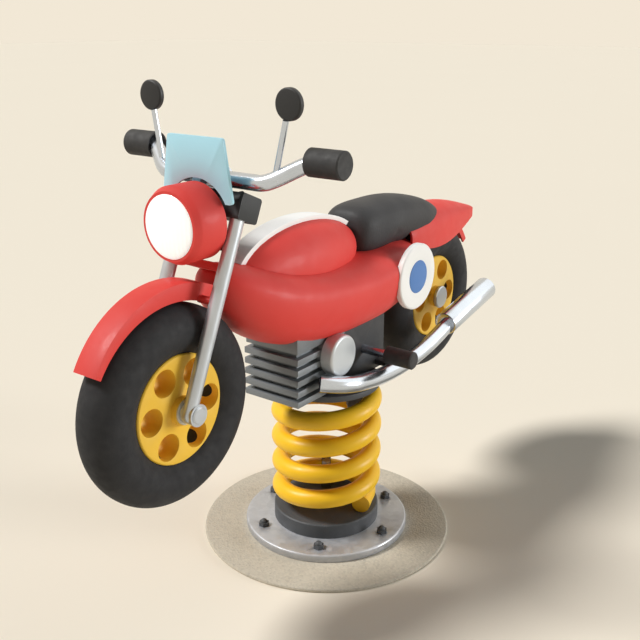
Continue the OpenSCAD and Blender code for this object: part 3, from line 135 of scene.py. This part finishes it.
# Short ways to wire material nodes
class Surface:
    """A Principled material with helpers that add nodes in the piece's own coordinates."""

    def __init__(self, name, **constants):
        self.material = bpy.data.materials.new(name)
        self.material.use_nodes = True
        self.tree = self.material.node_tree
        self.shader = self.tree.nodes["Principled BSDF"]
        for socket, value in constants.items():
            self.shader.inputs[socket.replace("_", " ")].default_value = value

    def add(self, kind, **settings):
        node = self.tree.nodes.new(kind)
        for key, value in settings.items():
            setattr(node, key, value)
        return node

    def link(self, out, into):
        self.tree.links.new(out, into)

    def feed(self, socket, value):
        """Link another node's output to the socket, or set the socket to a constant."""
        if hasattr(value, "is_linked"):
            self.link(value, socket)
        else:
            socket.default_value = value

    def coords(self, stretch=(1, 1, 1)):
        place = self.add("ShaderNodeTexCoord")
        mapping = self.add("ShaderNodeMapping")
        mapping.inputs["Scale"].default_value = stretch
        self.link(place.outputs["Object"], mapping.inputs["Vector"])
        return mapping.outputs["Vector"]

    def noise(self, scale, detail=3.0, stretch=(1, 1, 1)):
        node = self.add("ShaderNodeTexNoise")
        node.inputs["Scale"].default_value = scale
        node.inputs["Detail"].default_value = detail
        self.link(self.coords(stretch), node.inputs["Vector"])
        return node.outputs["Fac"]

    def cells(self, scale, output="Distance", feature="F1"):
        node = self.add("ShaderNodeTexVoronoi", feature=feature)
        node.inputs["Scale"].default_value = scale
        self.link(self.coords(), node.inputs["Vector"])
        return node.outputs[output]

    def cell_values(self, scale):
        """Three values from 0 to 1 that differ from cell to cell."""
        split = self.add("ShaderNodeSeparateColor")
        self.link(self.cells(scale, output="Color"), split.inputs["Color"])
        return [split.outputs[channel] for channel in ("Red", "Green", "Blue")]

    def span(self, value, among, onto=(0.0, 1.0)):
        """Map one stretch of values onto another, held at its ends."""
        node = self.add("ShaderNodeMapRange")
        node.inputs["From Min"].default_value = among[0]
        node.inputs["From Max"].default_value = among[1]
        node.inputs["To Min"].default_value = onto[0]
        node.inputs["To Max"].default_value = onto[1]
        self.link(value, node.inputs["Value"])
        return node.outputs["Result"]

    def mix(self, share, first, second):
        node = self.add("ShaderNodeMix", data_type="RGBA")
        self.link(share, node.inputs["Factor"])
        self.feed(node.inputs["A"], first)
        self.feed(node.inputs["B"], second)
        return node.outputs["Result"]

    def tones(self, share, colour, start, end):
        """The colour, from one brightness factor to another as the share goes from 0 to 1."""
        return self.mix(share, shade(colour, start), shade(colour, end))

    def times(self, first, second):
        node = self.add("ShaderNodeMath", operation="MULTIPLY")
        self.feed(node.inputs[0], first)
        self.feed(node.inputs[1], second)
        return node.outputs["Value"]

    def edges(self, reach):
        """1 along edges, where handling and weather wear a surface: a rounded normal differs there."""
        rounded = self.add("ShaderNodeBevel", samples=EDGE_SAMPLES)
        rounded.inputs["Radius"].default_value = reach
        geometry = self.add("ShaderNodeNewGeometry")
        facing = self.add("ShaderNodeVectorMath", operation="DOT_PRODUCT")
        self.link(rounded.outputs["Normal"], facing.inputs[0])
        self.link(geometry.outputs["Normal"], facing.inputs[1])
        return self.span(facing.outputs["Value"], EDGE_COSINES)

    def colour(self, value):
        self.link(value, self.shader.inputs["Base Color"])

    def rough(self, value, bounds):
        self.link(self.span(value, BROAD, bounds), self.shader.inputs["Roughness"])

    def bump(self, height, depth):
        node = self.add("ShaderNodeBump")
        node.inputs["Strength"].default_value = 1.0
        node.inputs["Distance"].default_value = depth
        self.link(height, node.inputs["Height"])
        self.link(node.outputs["Normal"], self.shader.inputs["Normal"])


# Materials, one function for each finish
def moulded(name, colour, rough, coat=0.0):
    """Through-coloured plastic: slight cloudiness, a faint ripple from the mould, paler worn edges."""
    surface = Surface(name, Coat_Weight=coat, Coat_Roughness=0.12, Specular_IOR_Level=0.35)
    cloud = surface.span(surface.noise(scale=5.0), MIDDLE)
    body = surface.tones(cloud, colour, 0.96, 1.03)
    patches = surface.span(surface.noise(scale=60.0), (0.45, 0.7))
    worn = surface.times(surface.times(surface.edges(MOULD_EDGE), patches), MOULD_WEAR)
    surface.colour(surface.mix(worn, body, shade(colour, 1.3)))
    surface.rough(surface.noise(scale=45.0), rough)
    surface.bump(surface.noise(scale=110.0, detail=2.0), MOULD_RIPPLE)
    return surface.material


def powder_coat(name, colour, rough, chip=None):
    """Sprayed and baked paint: fine pebbled skin, with rubbed edges where a chip colour is given."""
    surface = Surface(name, Specular_IOR_Level=0.35)
    tone = surface.span(surface.noise(scale=7.0), MIDDLE)
    body = surface.tones(tone, colour, 0.96, 1.04)
    if chip:
        scuffs = surface.span(surface.noise(scale=90.0, detail=6.0), (0.52, 0.62))
        rubbed = surface.times(surface.times(surface.edges(PAINT_EDGE), scuffs), PAINT_WEAR)
        body = surface.mix(rubbed, body, chip)
    surface.colour(body)
    surface.rough(surface.noise(scale=60.0), rough)
    surface.bump(surface.noise(scale=380.0, detail=2.0), PAINT_PEBBLE)
    return surface.material


def plated(name, colour, rough):
    """Polished plating, with faint smears and hairline scratches."""
    surface = Surface(name, Metallic=1.0)
    smears = surface.span(surface.noise(scale=16.0, detail=5.0), (0.35, 0.7))
    surface.colour(surface.tones(smears, colour, 1.0, 0.88))
    surface.rough(surface.noise(scale=22.0, detail=6.0), rough)
    surface.bump(surface.noise(scale=40.0, detail=2.0, stretch=(1, 1, 9)), PLATING_SCRATCH)
    return surface.material


def brushed(name, colour, metallic, rough, stretch=(1, 1, 1)):
    """Finely finished metal, with soft streaks along the axis that is stretched least."""
    surface = Surface(name, Metallic=metallic)
    streaks = surface.noise(scale=20.0, detail=2.0, stretch=stretch)
    surface.colour(surface.tones(surface.span(streaks, BROAD), colour, 0.97, 1.03))
    surface.rough(streaks, rough)
    surface.bump(streaks, BRUSH_STREAK)
    return surface.material


def cast_alloy(name, colour, rough):
    """Sand-cast alloy: a grainy skin in slightly different tones, brighter on its rubbed edges."""
    surface = Surface(name, Metallic=0.35)
    tone = surface.span(surface.noise(scale=14.0), BROAD)
    body = surface.tones(tone, colour, 0.92, 1.05)
    rubbed = surface.times(surface.edges(CAST_EDGE), CAST_WEAR)
    surface.colour(surface.mix(rubbed, body, shade(colour, 1.5)))
    grain = surface.noise(scale=300.0, detail=4.0)
    surface.rough(grain, rough)
    surface.bump(grain, CAST_GRAIN)
    return surface.material


def galvanised(name, colour, rough):
    """Hot-dip zinc: crystal patches that differ a little in tone and gloss, with dull stains."""
    surface = Surface(name, Metallic=0.55)
    tone, gloss, _ = surface.cell_values(ZINC_CRYSTALS)
    body = surface.tones(tone, colour, 0.94, 1.05)
    stains = surface.span(surface.noise(scale=11.0, detail=4.0), (0.55, 0.75), (0.0, 0.25))
    surface.colour(surface.mix(stains, body, ZINC_STAIN))
    surface.rough(gloss, rough)
    surface.bump(surface.noise(scale=70.0), ZINC_WAVE)
    return surface.material


def grip_rubber(name, colour, rough):
    """Black rubber: matt, with a dusty bloom and a fine moulded grain."""
    surface = Surface(name)
    bloom = surface.span(surface.noise(scale=18.0, detail=5.0), (0.45, 0.75), (0.0, 0.5))
    surface.colour(surface.tones(bloom, colour, 0.92, 1.5))
    surface.rough(surface.noise(scale=80.0), rough)
    surface.bump(surface.noise(scale=260.0), GRIP_GRAIN)
    return surface.material


def tyre_rubber(name, colour, rough):
    """Tyre: matt rubber with dust in its grain."""
    surface = Surface(name, Specular_IOR_Level=0.3)
    dust = surface.span(surface.noise(scale=26.0, detail=6.0), (0.5, 0.72), (0.0, 0.4))
    surface.colour(surface.tones(dust, colour, 1.0, 1.4))
    surface.rough(surface.noise(scale=70.0), rough)
    surface.bump(surface.noise(scale=240.0, detail=4.0), TYRE_GRAIN)
    return surface.material


def granulate(name, colour, rough):
    """Bonded rubber crumbs: each has its own tone and gloss, a few are dark, and all stand out."""
    surface = Surface(name)
    tone, darkness, gloss = surface.cell_values(PAD_CRUMBS)
    body = surface.tones(tone, colour, 0.92, 1.06)
    dark = surface.span(darkness, (0.86, 0.9), (0.0, 0.2))
    surface.colour(surface.mix(dark, body, shade(colour, 0.5)))
    surface.rough(gloss, rough)
    surface.bump(surface.cells(PAD_CRUMBS), PAD_CRUMB)
    return surface.material


def synthetic_leather(name, colour, rough):
    """Seat cover: pebble grain with creases between the pebbles, rubbed paler in patches."""
    surface = Surface(name, Specular_IOR_Level=0.3)
    rubbed = surface.span(surface.noise(scale=9.0, detail=4.0), (0.4, 0.7))
    surface.colour(surface.tones(rubbed, colour, 0.9, 1.18))
    surface.rough(surface.noise(scale=14.0), rough)
    surface.bump(surface.cells(LEATHER_PEBBLES, feature="SMOOTH_F1"), LEATHER_GRAIN)
    return surface.material


def opal_lens(name, rough):
    """Milk-white moulded lens with upright flutes, with a painted glow: it emits a little light though no
    lamp is inside.
    """
    surface = Surface(
        name,
        Coat_Weight=0.5,
        Coat_Roughness=0.05,
        Subsurface_Weight=0.2,
        Emission_Color=LENS_PAINTED_GLOW_COLOUR,
        Emission_Strength=LENS_PAINTED_GLOW,
    )
    milk = surface.span(surface.noise(scale=25.0), BROAD)
    surface.colour(surface.mix(milk, LENS_MILK, LENS_WHITE))
    surface.rough(surface.noise(scale=60.0), rough)
    flutes = surface.add("ShaderNodeTexWave", bands_direction="X")
    flutes.inputs["Scale"].default_value = LENS_FLUTES
    surface.link(surface.coords(), flutes.inputs["Vector"])
    surface.bump(flutes.outputs["Fac"], LENS_FLUTE)
    return surface.material


ALONG_X = (0.5, 3, 3)
ALONG_Z = (4, 4, 0.5)
SURFACES = {
    "pad_rubber": granulate("pad_rubber", PAD_SAND, rough=(0.78, 0.92)),
    "plate_steel": galvanised("plate_steel", STEEL, rough=(0.34, 0.5)),
    "spring_mount_paint": powder_coat("spring_mount_paint", CUP_GREY, rough=(0.45, 0.6), chip=STEEL),
    "fastener_steel": brushed("fastener_steel", STEEL, metallic=0.9, rough=(0.25, 0.42)),
    "spring_paint": powder_coat("spring_paint", SPRING_YELLOW, rough=(0.32, 0.46)),
    "chassis_paint": powder_coat("chassis_paint", CHASSIS_GREY, rough=(0.42, 0.58), chip=STEEL),
    "engine_alloy": cast_alloy("engine_alloy", FIN_GREY, rough=(0.42, 0.6)),
    "cover_alloy": brushed("cover_alloy", COVER_GREY, metallic=0.3, rough=(0.3, 0.42)),
    "bright_chrome": plated("bright_chrome", CHROME, rough=(0.18, 0.28)),
    "peg_rubber": grip_rubber("peg_rubber", GRIP_GREY, rough=(0.62, 0.8)),
    "body_red": moulded("body_red", RED, rough=(0.5, 0.62), coat=0.03),
    "yoke_red": powder_coat("yoke_red", RED, rough=(0.35, 0.48), chip=CHASSIS_GREY),
    "trim_white": moulded("trim_white", WHITE, rough=(0.4, 0.52), coat=0.06),
    "disc_blue": moulded("disc_blue", BLUE, rough=(0.42, 0.54)),
    "seat_cover": synthetic_leather("seat_cover", SEAT_GREY, rough=(0.55, 0.7)),
    "tyre_rubber": tyre_rubber("tyre_rubber", TYRE_GREY, rough=(0.66, 0.84)),
    "wheel_yellow": moulded("wheel_yellow", WHEEL_YELLOW, rough=(0.4, 0.54), coat=0.04),
    "bush_nylon": moulded("bush_nylon", NYLON, rough=(0.4, 0.55)),
    "axle_steel": brushed("axle_steel", ALLOY, metallic=0.7, rough=(0.28, 0.38), stretch=ALONG_X),
    "fork_alloy": brushed("fork_alloy", ALLOY, metallic=0.65, rough=(0.28, 0.36), stretch=ALONG_Z),
    "crown_paint": powder_coat("crown_paint", CROWN_GREY, rough=(0.42, 0.56), chip=STEEL),
    "clamp_alloy": brushed("clamp_alloy", ALLOY, metallic=0.8, rough=(0.3, 0.42), stretch=ALONG_X),
    "mirror_case": moulded("mirror_case", GRIP_GREY, rough=(0.42, 0.56)),
    "mirror_face": plated("mirror_face", CHROME, rough=(0.02, 0.05)),
    "lens_white": opal_lens("lens_white", rough=(0.14, 0.24)),
    "screen_blue": moulded("screen_blue", SCREEN_BLUE, rough=(0.3, 0.42)),
}


# Smooth shading: only edges sharper than a set angle stay hard
SHARP_ANGLE = math.radians(34.0)


def smoothing_group():
    group = bpy.data.node_groups.new("smooth_by_angle", "GeometryNodeTree")
    for direction in ("INPUT", "OUTPUT"):
        group.interface.new_socket("Geometry", in_out=direction, socket_type="NodeSocketGeometry")
    first = group.nodes.new("NodeGroupInput")
    last = group.nodes.new("NodeGroupOutput")
    faces = group.nodes.new("GeometryNodeSetShadeSmooth")
    corners = group.nodes.new("GeometryNodeSetShadeSmooth")
    corners.domain = "EDGE"
    corners.inputs["Shade Smooth"].default_value = False
    angle = group.nodes.new("GeometryNodeInputMeshEdgeAngle")
    sharp = group.nodes.new("FunctionNodeCompare")
    sharp.data_type = "FLOAT"
    sharp.operation = "GREATER_THAN"
    sharp.inputs["B"].default_value = SHARP_ANGLE
    group.links.new(angle.outputs["Unsigned Angle"], sharp.inputs["A"])
    group.links.new(first.outputs["Geometry"], faces.inputs["Geometry"])
    group.links.new(faces.outputs["Geometry"], corners.inputs["Geometry"])
    group.links.new(sharp.outputs["Result"], corners.inputs["Selection"])
    group.links.new(corners.outputs["Geometry"], last.inputs["Geometry"])
    return group


SMOOTH = smoothing_group()


def smooth_corners(obj):
    smooth = obj.modifiers.new("smooth", "NODES")
    smooth.node_group = SMOOTH


# Dress of the CAD nodes: materials, close vertices welded, and bevels of these widths in millimetres
WELD_REACH = 0.01 * MM
BEVEL_ANGLE = math.radians(40.0)
BEVEL_SEGMENTS = 2
BEVELS_IN_MM = {
    "base_plate": 1.6,
    "ground_pad": 1.5,
    "lower_spring_cup": 2.0,
    "upper_spring_cap": 1.5,
    "chassis_box": 1.5,
    "engine_block": 0.8,
    "cylinder_head": 0.8,
    "crank_cover_left": 2.0,
    "crank_cover_right": 2.0,
    "side_disc_left": 1.8,
    "side_disc_right": 1.8,
    "disc_centre_left": 0.8,
    "disc_centre_right": 0.8,
    "fork_crown": 1.5,
    "muffler": 1.2,
    "windscreen": 1.2,
    "mirror_head_left": 1.2,
    "mirror_head_right": 1.2,
    "front_mudguard": 1.2,
    "tail_cowl": 1.5,
    "tank_stripe": 0.8,
    "front_wheel_disc": 1.5,
    "rear_wheel_disc": 1.5,
}


def clear_normals(mesh):
    if "custom_normal" in mesh.attributes:
        mesh.attributes.remove(mesh.attributes["custom_normal"])


def dress_nodes():
    slots = {row["node"]: row["material_slot"] for row in frame["record"]["subparts"]}
    for name, obj in nodes.items():
        obj.data.materials.clear()
        obj.data.materials.append(SURFACES[slots[name]])
        clear_normals(obj.data)
        weld = obj.modifiers.new("weld", "WELD")
        weld.merge_threshold = WELD_REACH
        if name in BEVELS_IN_MM:
            bevel = obj.modifiers.new("bevel", "BEVEL")
            bevel.width = BEVELS_IN_MM[name] * MM
            bevel.segments = BEVEL_SEGMENTS
            bevel.limit_method = "ANGLE"
            bevel.angle_limit = BEVEL_ANGLE
        smooth_corners(obj)


dress_nodes()


# Spring: the same winding as the CAD wire, in two halves cut at its middle height
WIRE_R = 17.0 * MM
WIRE_TIP = 2 * WIRE_R
COIL_R = 86.5 * MM
COIL_PITCH = 52.0 * MM
EASE_TURNS = 0.4
END_DRAW = 10.0 * MM
WIRE_END = math.radians(21.0)
CUP_GAP = 0.3 * MM
RINGS_PER_TURN = 96
WIRE_SIDES = 28


def new_piece(name, mesh, surface):
    obj = bpy.data.objects.new(name, mesh)
    scene.collection.objects.link(obj)
    mesh.materials.append(surface)
    return obj


def ring_mesh(name, rings):
    """Closed mesh that walks from ring to ring, with a flat face on the first and the last."""
    mesh = bpy.data.meshes.new(name)
    form = bmesh.new()
    rows = [[form.verts.new(point) for point in ring] for ring in rings]
    sides = len(rows[0])
    for low, high in zip(rows, rows[1:]):
        for k in range(sides):
            form.faces.new((low[k], low[(k + 1) % sides], high[(k + 1) % sides], high[k]))
    form.faces.new(rows[0])
    form.faces.new(rows[-1])
    bmesh.ops.recalc_face_normals(form, faces=form.faces)
    form.to_mesh(mesh)
    form.free()
    return mesh


def tube_rings(path, radius, sides):
    """Rings of a round tube along a path that always runs on round the Z axis."""
    rings = []
    for i, point in enumerate(path):
        along = (path[min(i + 1, len(path) - 1)] - path[max(i - 1, 0)]).normalized()
        side = along.cross(Vector((0, 0, 1))).normalized()
        over = side.cross(along)
        turn = [2 * math.pi * k / sides for k in range(sides)]
        rings.append([point + radius * (math.cos(t) * over + math.sin(t) * side) for t in turn])
    return rings


def coil_path():
    """Middle line of the wire: level, drawn-in ends with straight tips, and an even rise between."""
    low_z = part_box("lower_spring_cup")[1].z + WIRE_R + CUP_GAP
    high_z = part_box("coil_spring")[1].z - WIRE_R
    turns = EASE_TURNS + (high_z - low_z) / COIL_PITCH

    def ease(t):
        return 0.5 * COIL_PITCH / EASE_TURNS * t * t

    def rise(t):
        if t < EASE_TURNS:
            return ease(t)
        if t > turns - EASE_TURNS:
            return high_z - low_z - ease(turns - t)
        return COIL_PITCH * (t - EASE_TURNS / 2)

    def point(t):
        radius = COIL_R - END_DRAW * max(0.0, 1 - min(t, turns - t) / EASE_TURNS) ** 2
        angle = WIRE_END + 2 * math.pi * t
        return Vector((radius * math.cos(angle), radius * math.sin(angle), low_z + rise(t)))

    def heading(t):
        angle = WIRE_END + 2 * math.pi * t
        return Vector((-math.sin(angle), math.cos(angle), 0))

    steps = math.ceil(turns * RINGS_PER_TURN)
    middle = [point(turns * i / steps) for i in range(steps + 1)]
    return [point(0) - WIRE_TIP * heading(0), *middle, point(turns) + WIRE_TIP * heading(turns)]


def make_spring():
    """Both halves share the ring at the cut."""
    path = coil_path()
    rings = tube_rings(path, WIRE_R, WIRE_SIDES)
    low, high = (corner.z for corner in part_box("coil_spring"))
    cut = next(i for i, point in enumerate(path) if point.z > (low + high) / 2)
    waist = path[cut].z
    halves = (
        ("spring_lower_turns", rings[: cut + 1], "base", "spring", low, waist - WIRE_R),
        ("spring_upper_turns", rings[cut:], "spring", "rider", waist + WIRE_R, high),
    )
    for name, share, below, above, start, end in halves:
        mesh = ring_mesh(name, share)
        half = new_piece(name, mesh, SURFACES["spring_paint"])
        smooth_corners(half)
        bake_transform(half)
        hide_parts("coil_spring")


make_spring()


# Seat cushion: the rounded form of the CAD seat, stuffed as cloth, then trimmed where it meets bodywork
SEAT_FRONT_Y = 44.0 * MM
SEAT_MID_Y = 150.0 * MM
SEAT_REAR_Y = 382.0 * MM
SEAT_HALF_W = 60.0 * MM
SEAT_MID_Z = 260.0 * MM
SEAT_UP = 54.0 * MM
SEAT_DOWN = 44.0 * MM
SEAT_DROP = 36.0 * MM
SEAT_FRONT_POWER = 4.5
SEAT_REAR_POWER = 2.4
SEAT_SECTION_POWER = 2.7
SEAT_RINGS = 48
SEAT_SIDES = 64
SEAT_POLE_SHARE = 0.995
SEAT_VOXEL = 5.0 * MM
SEAT_INSET = 3.5 * MM
SEAT_SWELL = 5.0 * MM
SEAT_FRAMES = 20
SEAT_PRESSURE = 4.0
SEAT_CLOTH_STEPS = 5
SEAT_RELAX = 0.5
SEAT_RELAX_ROUNDS = 4
SEAT_CARRIERS = ("body_shell", "fuel_tank", "tank_stripe")


def signed_power(value, power):
    return math.copysign(abs(value) ** power, value)


def seat_ring(u):
    """Ring of the seat's outline at share u of its length, from -1 at the front to 1 at the rear."""
    front = u < 0
    power = SEAT_FRONT_POWER if front else SEAT_REAR_POWER
    reach = SEAT_MID_Y - SEAT_FRONT_Y if front else SEAT_REAR_Y - SEAT_MID_Y
    size = (1 - abs(u) ** power) ** (1 / power)
    deck_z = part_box("upper_spring_cap")[1].z
    middle_z = deck_z + SEAT_MID_Z - (0 if front else SEAT_DROP * u * u)
    ring = []
    for k in range(SEAT_SIDES):
        angle = 2 * math.pi * k / SEAT_SIDES
        across = SEAT_HALF_W * signed_power(math.cos(angle), 2 / SEAT_SECTION_POWER)
        height = SEAT_UP if math.sin(angle) > 0 else SEAT_DOWN
        above = height * signed_power(math.sin(angle), 2 / SEAT_SECTION_POWER)
        ring.append(Vector((size * across, SEAT_MID_Y + u * reach, middle_z + size * above)))
    return ring


def apply_modifiers(obj):
    graph = bpy.context.evaluated_depsgraph_get()
    shaped = bpy.data.meshes.new_from_object(obj.evaluated_get(graph), depsgraph=graph)
    obj.modifiers.clear()
    obj.data = shaped


def seat_start():
    """The seat's outline in even faces, drawn in by what the stuffing pushes out again."""
    shares = [SEAT_POLE_SHARE * -math.cos(math.pi * i / SEAT_RINGS) for i in range(SEAT_RINGS + 1)]
    mesh = ring_mesh("seat_cover", [seat_ring(u) for u in shares])
    seat = new_piece("seat_cover", mesh, SURFACES["seat_cover"])
    remesh = seat.modifiers.new("remesh", "REMESH")
    remesh.mode = "VOXEL"
    remesh.voxel_size = SEAT_VOXEL
    apply_modifiers(seat)
    for vertex, normal in [(v, v.normal.copy()) for v in seat.data.vertices]:
        vertex.co -= SEAT_INSET * normal
    return seat


def stuff(seat):
    """Blow the cover up as cloth, with no vertex going further than the swell."""
    rest = [v.co.copy() for v in seat.data.vertices]
    cloth = seat.modifiers.new("cloth", "CLOTH")
    cloth.settings.use_pressure = True
    cloth.settings.uniform_pressure_force = SEAT_PRESSURE
    cloth.settings.effector_weights.gravity = 0.0
    cloth.settings.quality = SEAT_CLOTH_STEPS
    cloth.collision_settings.use_collision = False
    for number in range(1, SEAT_FRAMES + 1):
        scene.frame_set(number)
    apply_modifiers(seat)
    for vertex, start in zip(seat.data.vertices, rest):
        move = vertex.co - start
        if move.length > SEAT_SWELL:
            move = move.normalized() * SEAT_SWELL
        vertex.co = start + move
    scene.frame_set(1)


def tail_block():
    """The tail cowl filled in, so that no stuffing reaches into its hollow."""
    mesh = nodes["tail_cowl"].data.copy()
    form = bmesh.new()
    form.from_mesh(mesh)
    hull = bmesh.ops.convex_hull(form, input=form.verts)
    inner = set(hull["geom_interior"]) | set(hull["geom_unused"])
    bmesh.ops.delete(form, geom=[v for v in inner if isinstance(v, bmesh.types.BMVert)], context="VERTS")
    kept = set(hull["geom"])
    bmesh.ops.delete(form, geom=[f for f in form.faces if f not in kept], context="FACES_ONLY")
    bmesh.ops.recalc_face_normals(form, faces=form.faces)
    form.to_mesh(mesh)
    form.free()
    block = bpy.data.objects.new("tail_block", mesh)
    scene.collection.objects.link(block)
    return block


def keep_largest_island(mesh):
    form = bmesh.new()
    form.from_mesh(mesh)
    left = set(form.verts)
    islands = []
    while left:
        island = set()
        edge = [left.pop()]
        while edge:
            vertex = edge.pop()
            island.add(vertex)
            near = [e.other_vert(vertex) for e in vertex.link_edges]
            edge += [v for v in near if v in left]
            left.difference_update(near)
        islands.append(island)
    largest = max(islands, key=len)
    bmesh.ops.delete(form, geom=[v for v in form.verts if v not in largest], context="VERTS")
    form.to_mesh(mesh)
    form.free()


def trim(seat):
    """Cut away what lies inside the tail and the pieces that carry the seat."""
    block = tail_block()
    for carrier in [block, *[nodes[name] for name in SEAT_CARRIERS]]:
        cut = seat.modifiers.new("trim", "BOOLEAN")
        cut.operation = "DIFFERENCE"
        cut.solver = "EXACT"
        cut.object = carrier
    apply_modifiers(seat)
    bpy.data.objects.remove(block)
    keep_largest_island(seat.data)
    seat.data.materials.clear()
    seat.data.materials.append(SURFACES["seat_cover"])
    for polygon in seat.data.polygons:
        polygon.material_index = 0


def make_seat():
    seat = seat_start()
    stuff(seat)
    relax = seat.modifiers.new("relax", "SMOOTH")
    relax.factor = SEAT_RELAX
    relax.iterations = SEAT_RELAX_ROUNDS
    finer = seat.modifiers.new("finer", "SUBSURF")
    finer.levels = 1
    apply_modifiers(seat)
    trim(seat)
    smooth_corners(seat)
    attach(seat, "rider")
    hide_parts("seat_cushion")


make_seat()


# Floor, and lights given by their share of a level white surface's full brightness
FLOOR_SIZE = 60.0
FLOOR_DROP = 0.2 * MM
AMBIENT = 0.03
AMBIENT_COLOUR = (0.86, 0.94, 1.0, 1.0)
KEY = 0.757
KEY_RUN = (0.68, 0.58, -1.0)
KEY_SPREAD = 0.28
KEY_COLOUR = (1.0, 0.995, 0.985)
SIDE = 0.13
SIDE_RUN = (-0.35, -0.75, -0.75)
SIDE_SPREAD = 1.1
SIDE_COLOUR = (0.9, 0.96, 1.0)
FILL = 0.10
FILL_RUN = (-0.86, -0.48, -0.17)
FILL_SPREAD = 0.35
FILL_COLOUR = (0.96, 0.98, 1.0)


def make_floor():
    bpy.ops.mesh.primitive_plane_add(size=FLOOR_SIZE, location=(0, 0, -FLOOR_DROP))
    floor = bpy.context.object
    floor.name = "floor"
    surface = Surface("floor", Roughness=1.0, Specular_IOR_Level=0.0)
    tone = surface.span(surface.noise(scale=0.6), BROAD)
    surface.colour(surface.tones(tone, BACKGROUND, 0.995, 1.0))
    floor.data.materials.append(surface.material)


def make_world():
    """Plain backdrop for what is seen or mirrored, and a faint ambient light for all else."""
    world = bpy.data.worlds.new("studio")
    scene.world = world
    world.use_nodes = True
    tree = world.node_tree
    tree.nodes.clear()
    output = tree.nodes.new("ShaderNodeOutputWorld")
    ambient = tree.nodes.new("ShaderNodeBackground")
    ambient.inputs["Color"].default_value = AMBIENT_COLOUR
    ambient.inputs["Strength"].default_value = AMBIENT
    backdrop = tree.nodes.new("ShaderNodeBackground")
    backdrop.inputs["Color"].default_value = BACKGROUND
    path = tree.nodes.new("ShaderNodeLightPath")
    backdrop_share = path.outputs["Is Camera Ray"]
    for ray in ("Is Glossy Ray", "Is Transmission Ray"):
        either = tree.nodes.new("ShaderNodeMath")
        either.operation = "MAXIMUM"
        tree.links.new(backdrop_share, either.inputs[0])
        tree.links.new(path.outputs[ray], either.inputs[1])
        backdrop_share = either.outputs["Value"]
    mix = tree.nodes.new("ShaderNodeMixShader")
    tree.links.new(backdrop_share, mix.inputs["Fac"])
    tree.links.new(ambient.outputs["Background"], mix.inputs[1])
    tree.links.new(backdrop.outputs["Background"], mix.inputs[2])
    tree.links.new(mix.outputs["Shader"], output.inputs["Surface"])


def far_light(name, floor_share, run, spread, colour):
    """Soft distant light that shines along a run and gives the floor its share of brightness."""
    direction = Vector(run).normalized()
    light = bpy.data.lights.new(name, "SUN")
    light.energy = floor_share * math.pi / -direction.z
    light.angle = spread
    light.color = colour
    lamp = bpy.data.objects.new(name, light)
    lamp.rotation_euler = direction.to_track_quat("-Z", "Y").to_euler()
    scene.collection.objects.link(lamp)


# Camera: lens and sensor in its own millimetres
CAMERA_AZIMUTH = math.radians(36.4735)
CAMERA_ELEVATION = math.radians(18.7767)
CAMERA_DISTANCE = 1.6118
CAMERA_TARGET = Vector((-0.00965, -0.00713, 0.4145))
CAMERA_LENS = 50.0
CAMERA_SENSOR = 36.0


def make_camera():
    data = bpy.data.cameras.new("camera")
    data.lens = CAMERA_LENS
    data.sensor_width = CAMERA_SENSOR
    camera = bpy.data.objects.new("camera", data)
    scene.collection.objects.link(camera)
    level = math.cos(CAMERA_ELEVATION)
    across = math.sin(CAMERA_AZIMUTH) * level
    ahead = -math.cos(CAMERA_AZIMUTH) * level
    back = Vector((across, ahead, math.sin(CAMERA_ELEVATION)))
    camera.location = CAMERA_TARGET + CAMERA_DISTANCE * back
    camera.rotation_euler = (-back).to_track_quat("-Z", "Y").to_euler()
    scene.camera = camera


make_floor()
make_world()
far_light("key", KEY, KEY_RUN, KEY_SPREAD, KEY_COLOUR)
far_light("side", SIDE, SIDE_RUN, SIDE_SPREAD, SIDE_COLOUR)
far_light("fill", FILL, FILL_RUN, FILL_SPREAD, FILL_COLOUR)
make_camera()
scene.view_settings.view_transform = "Standard"
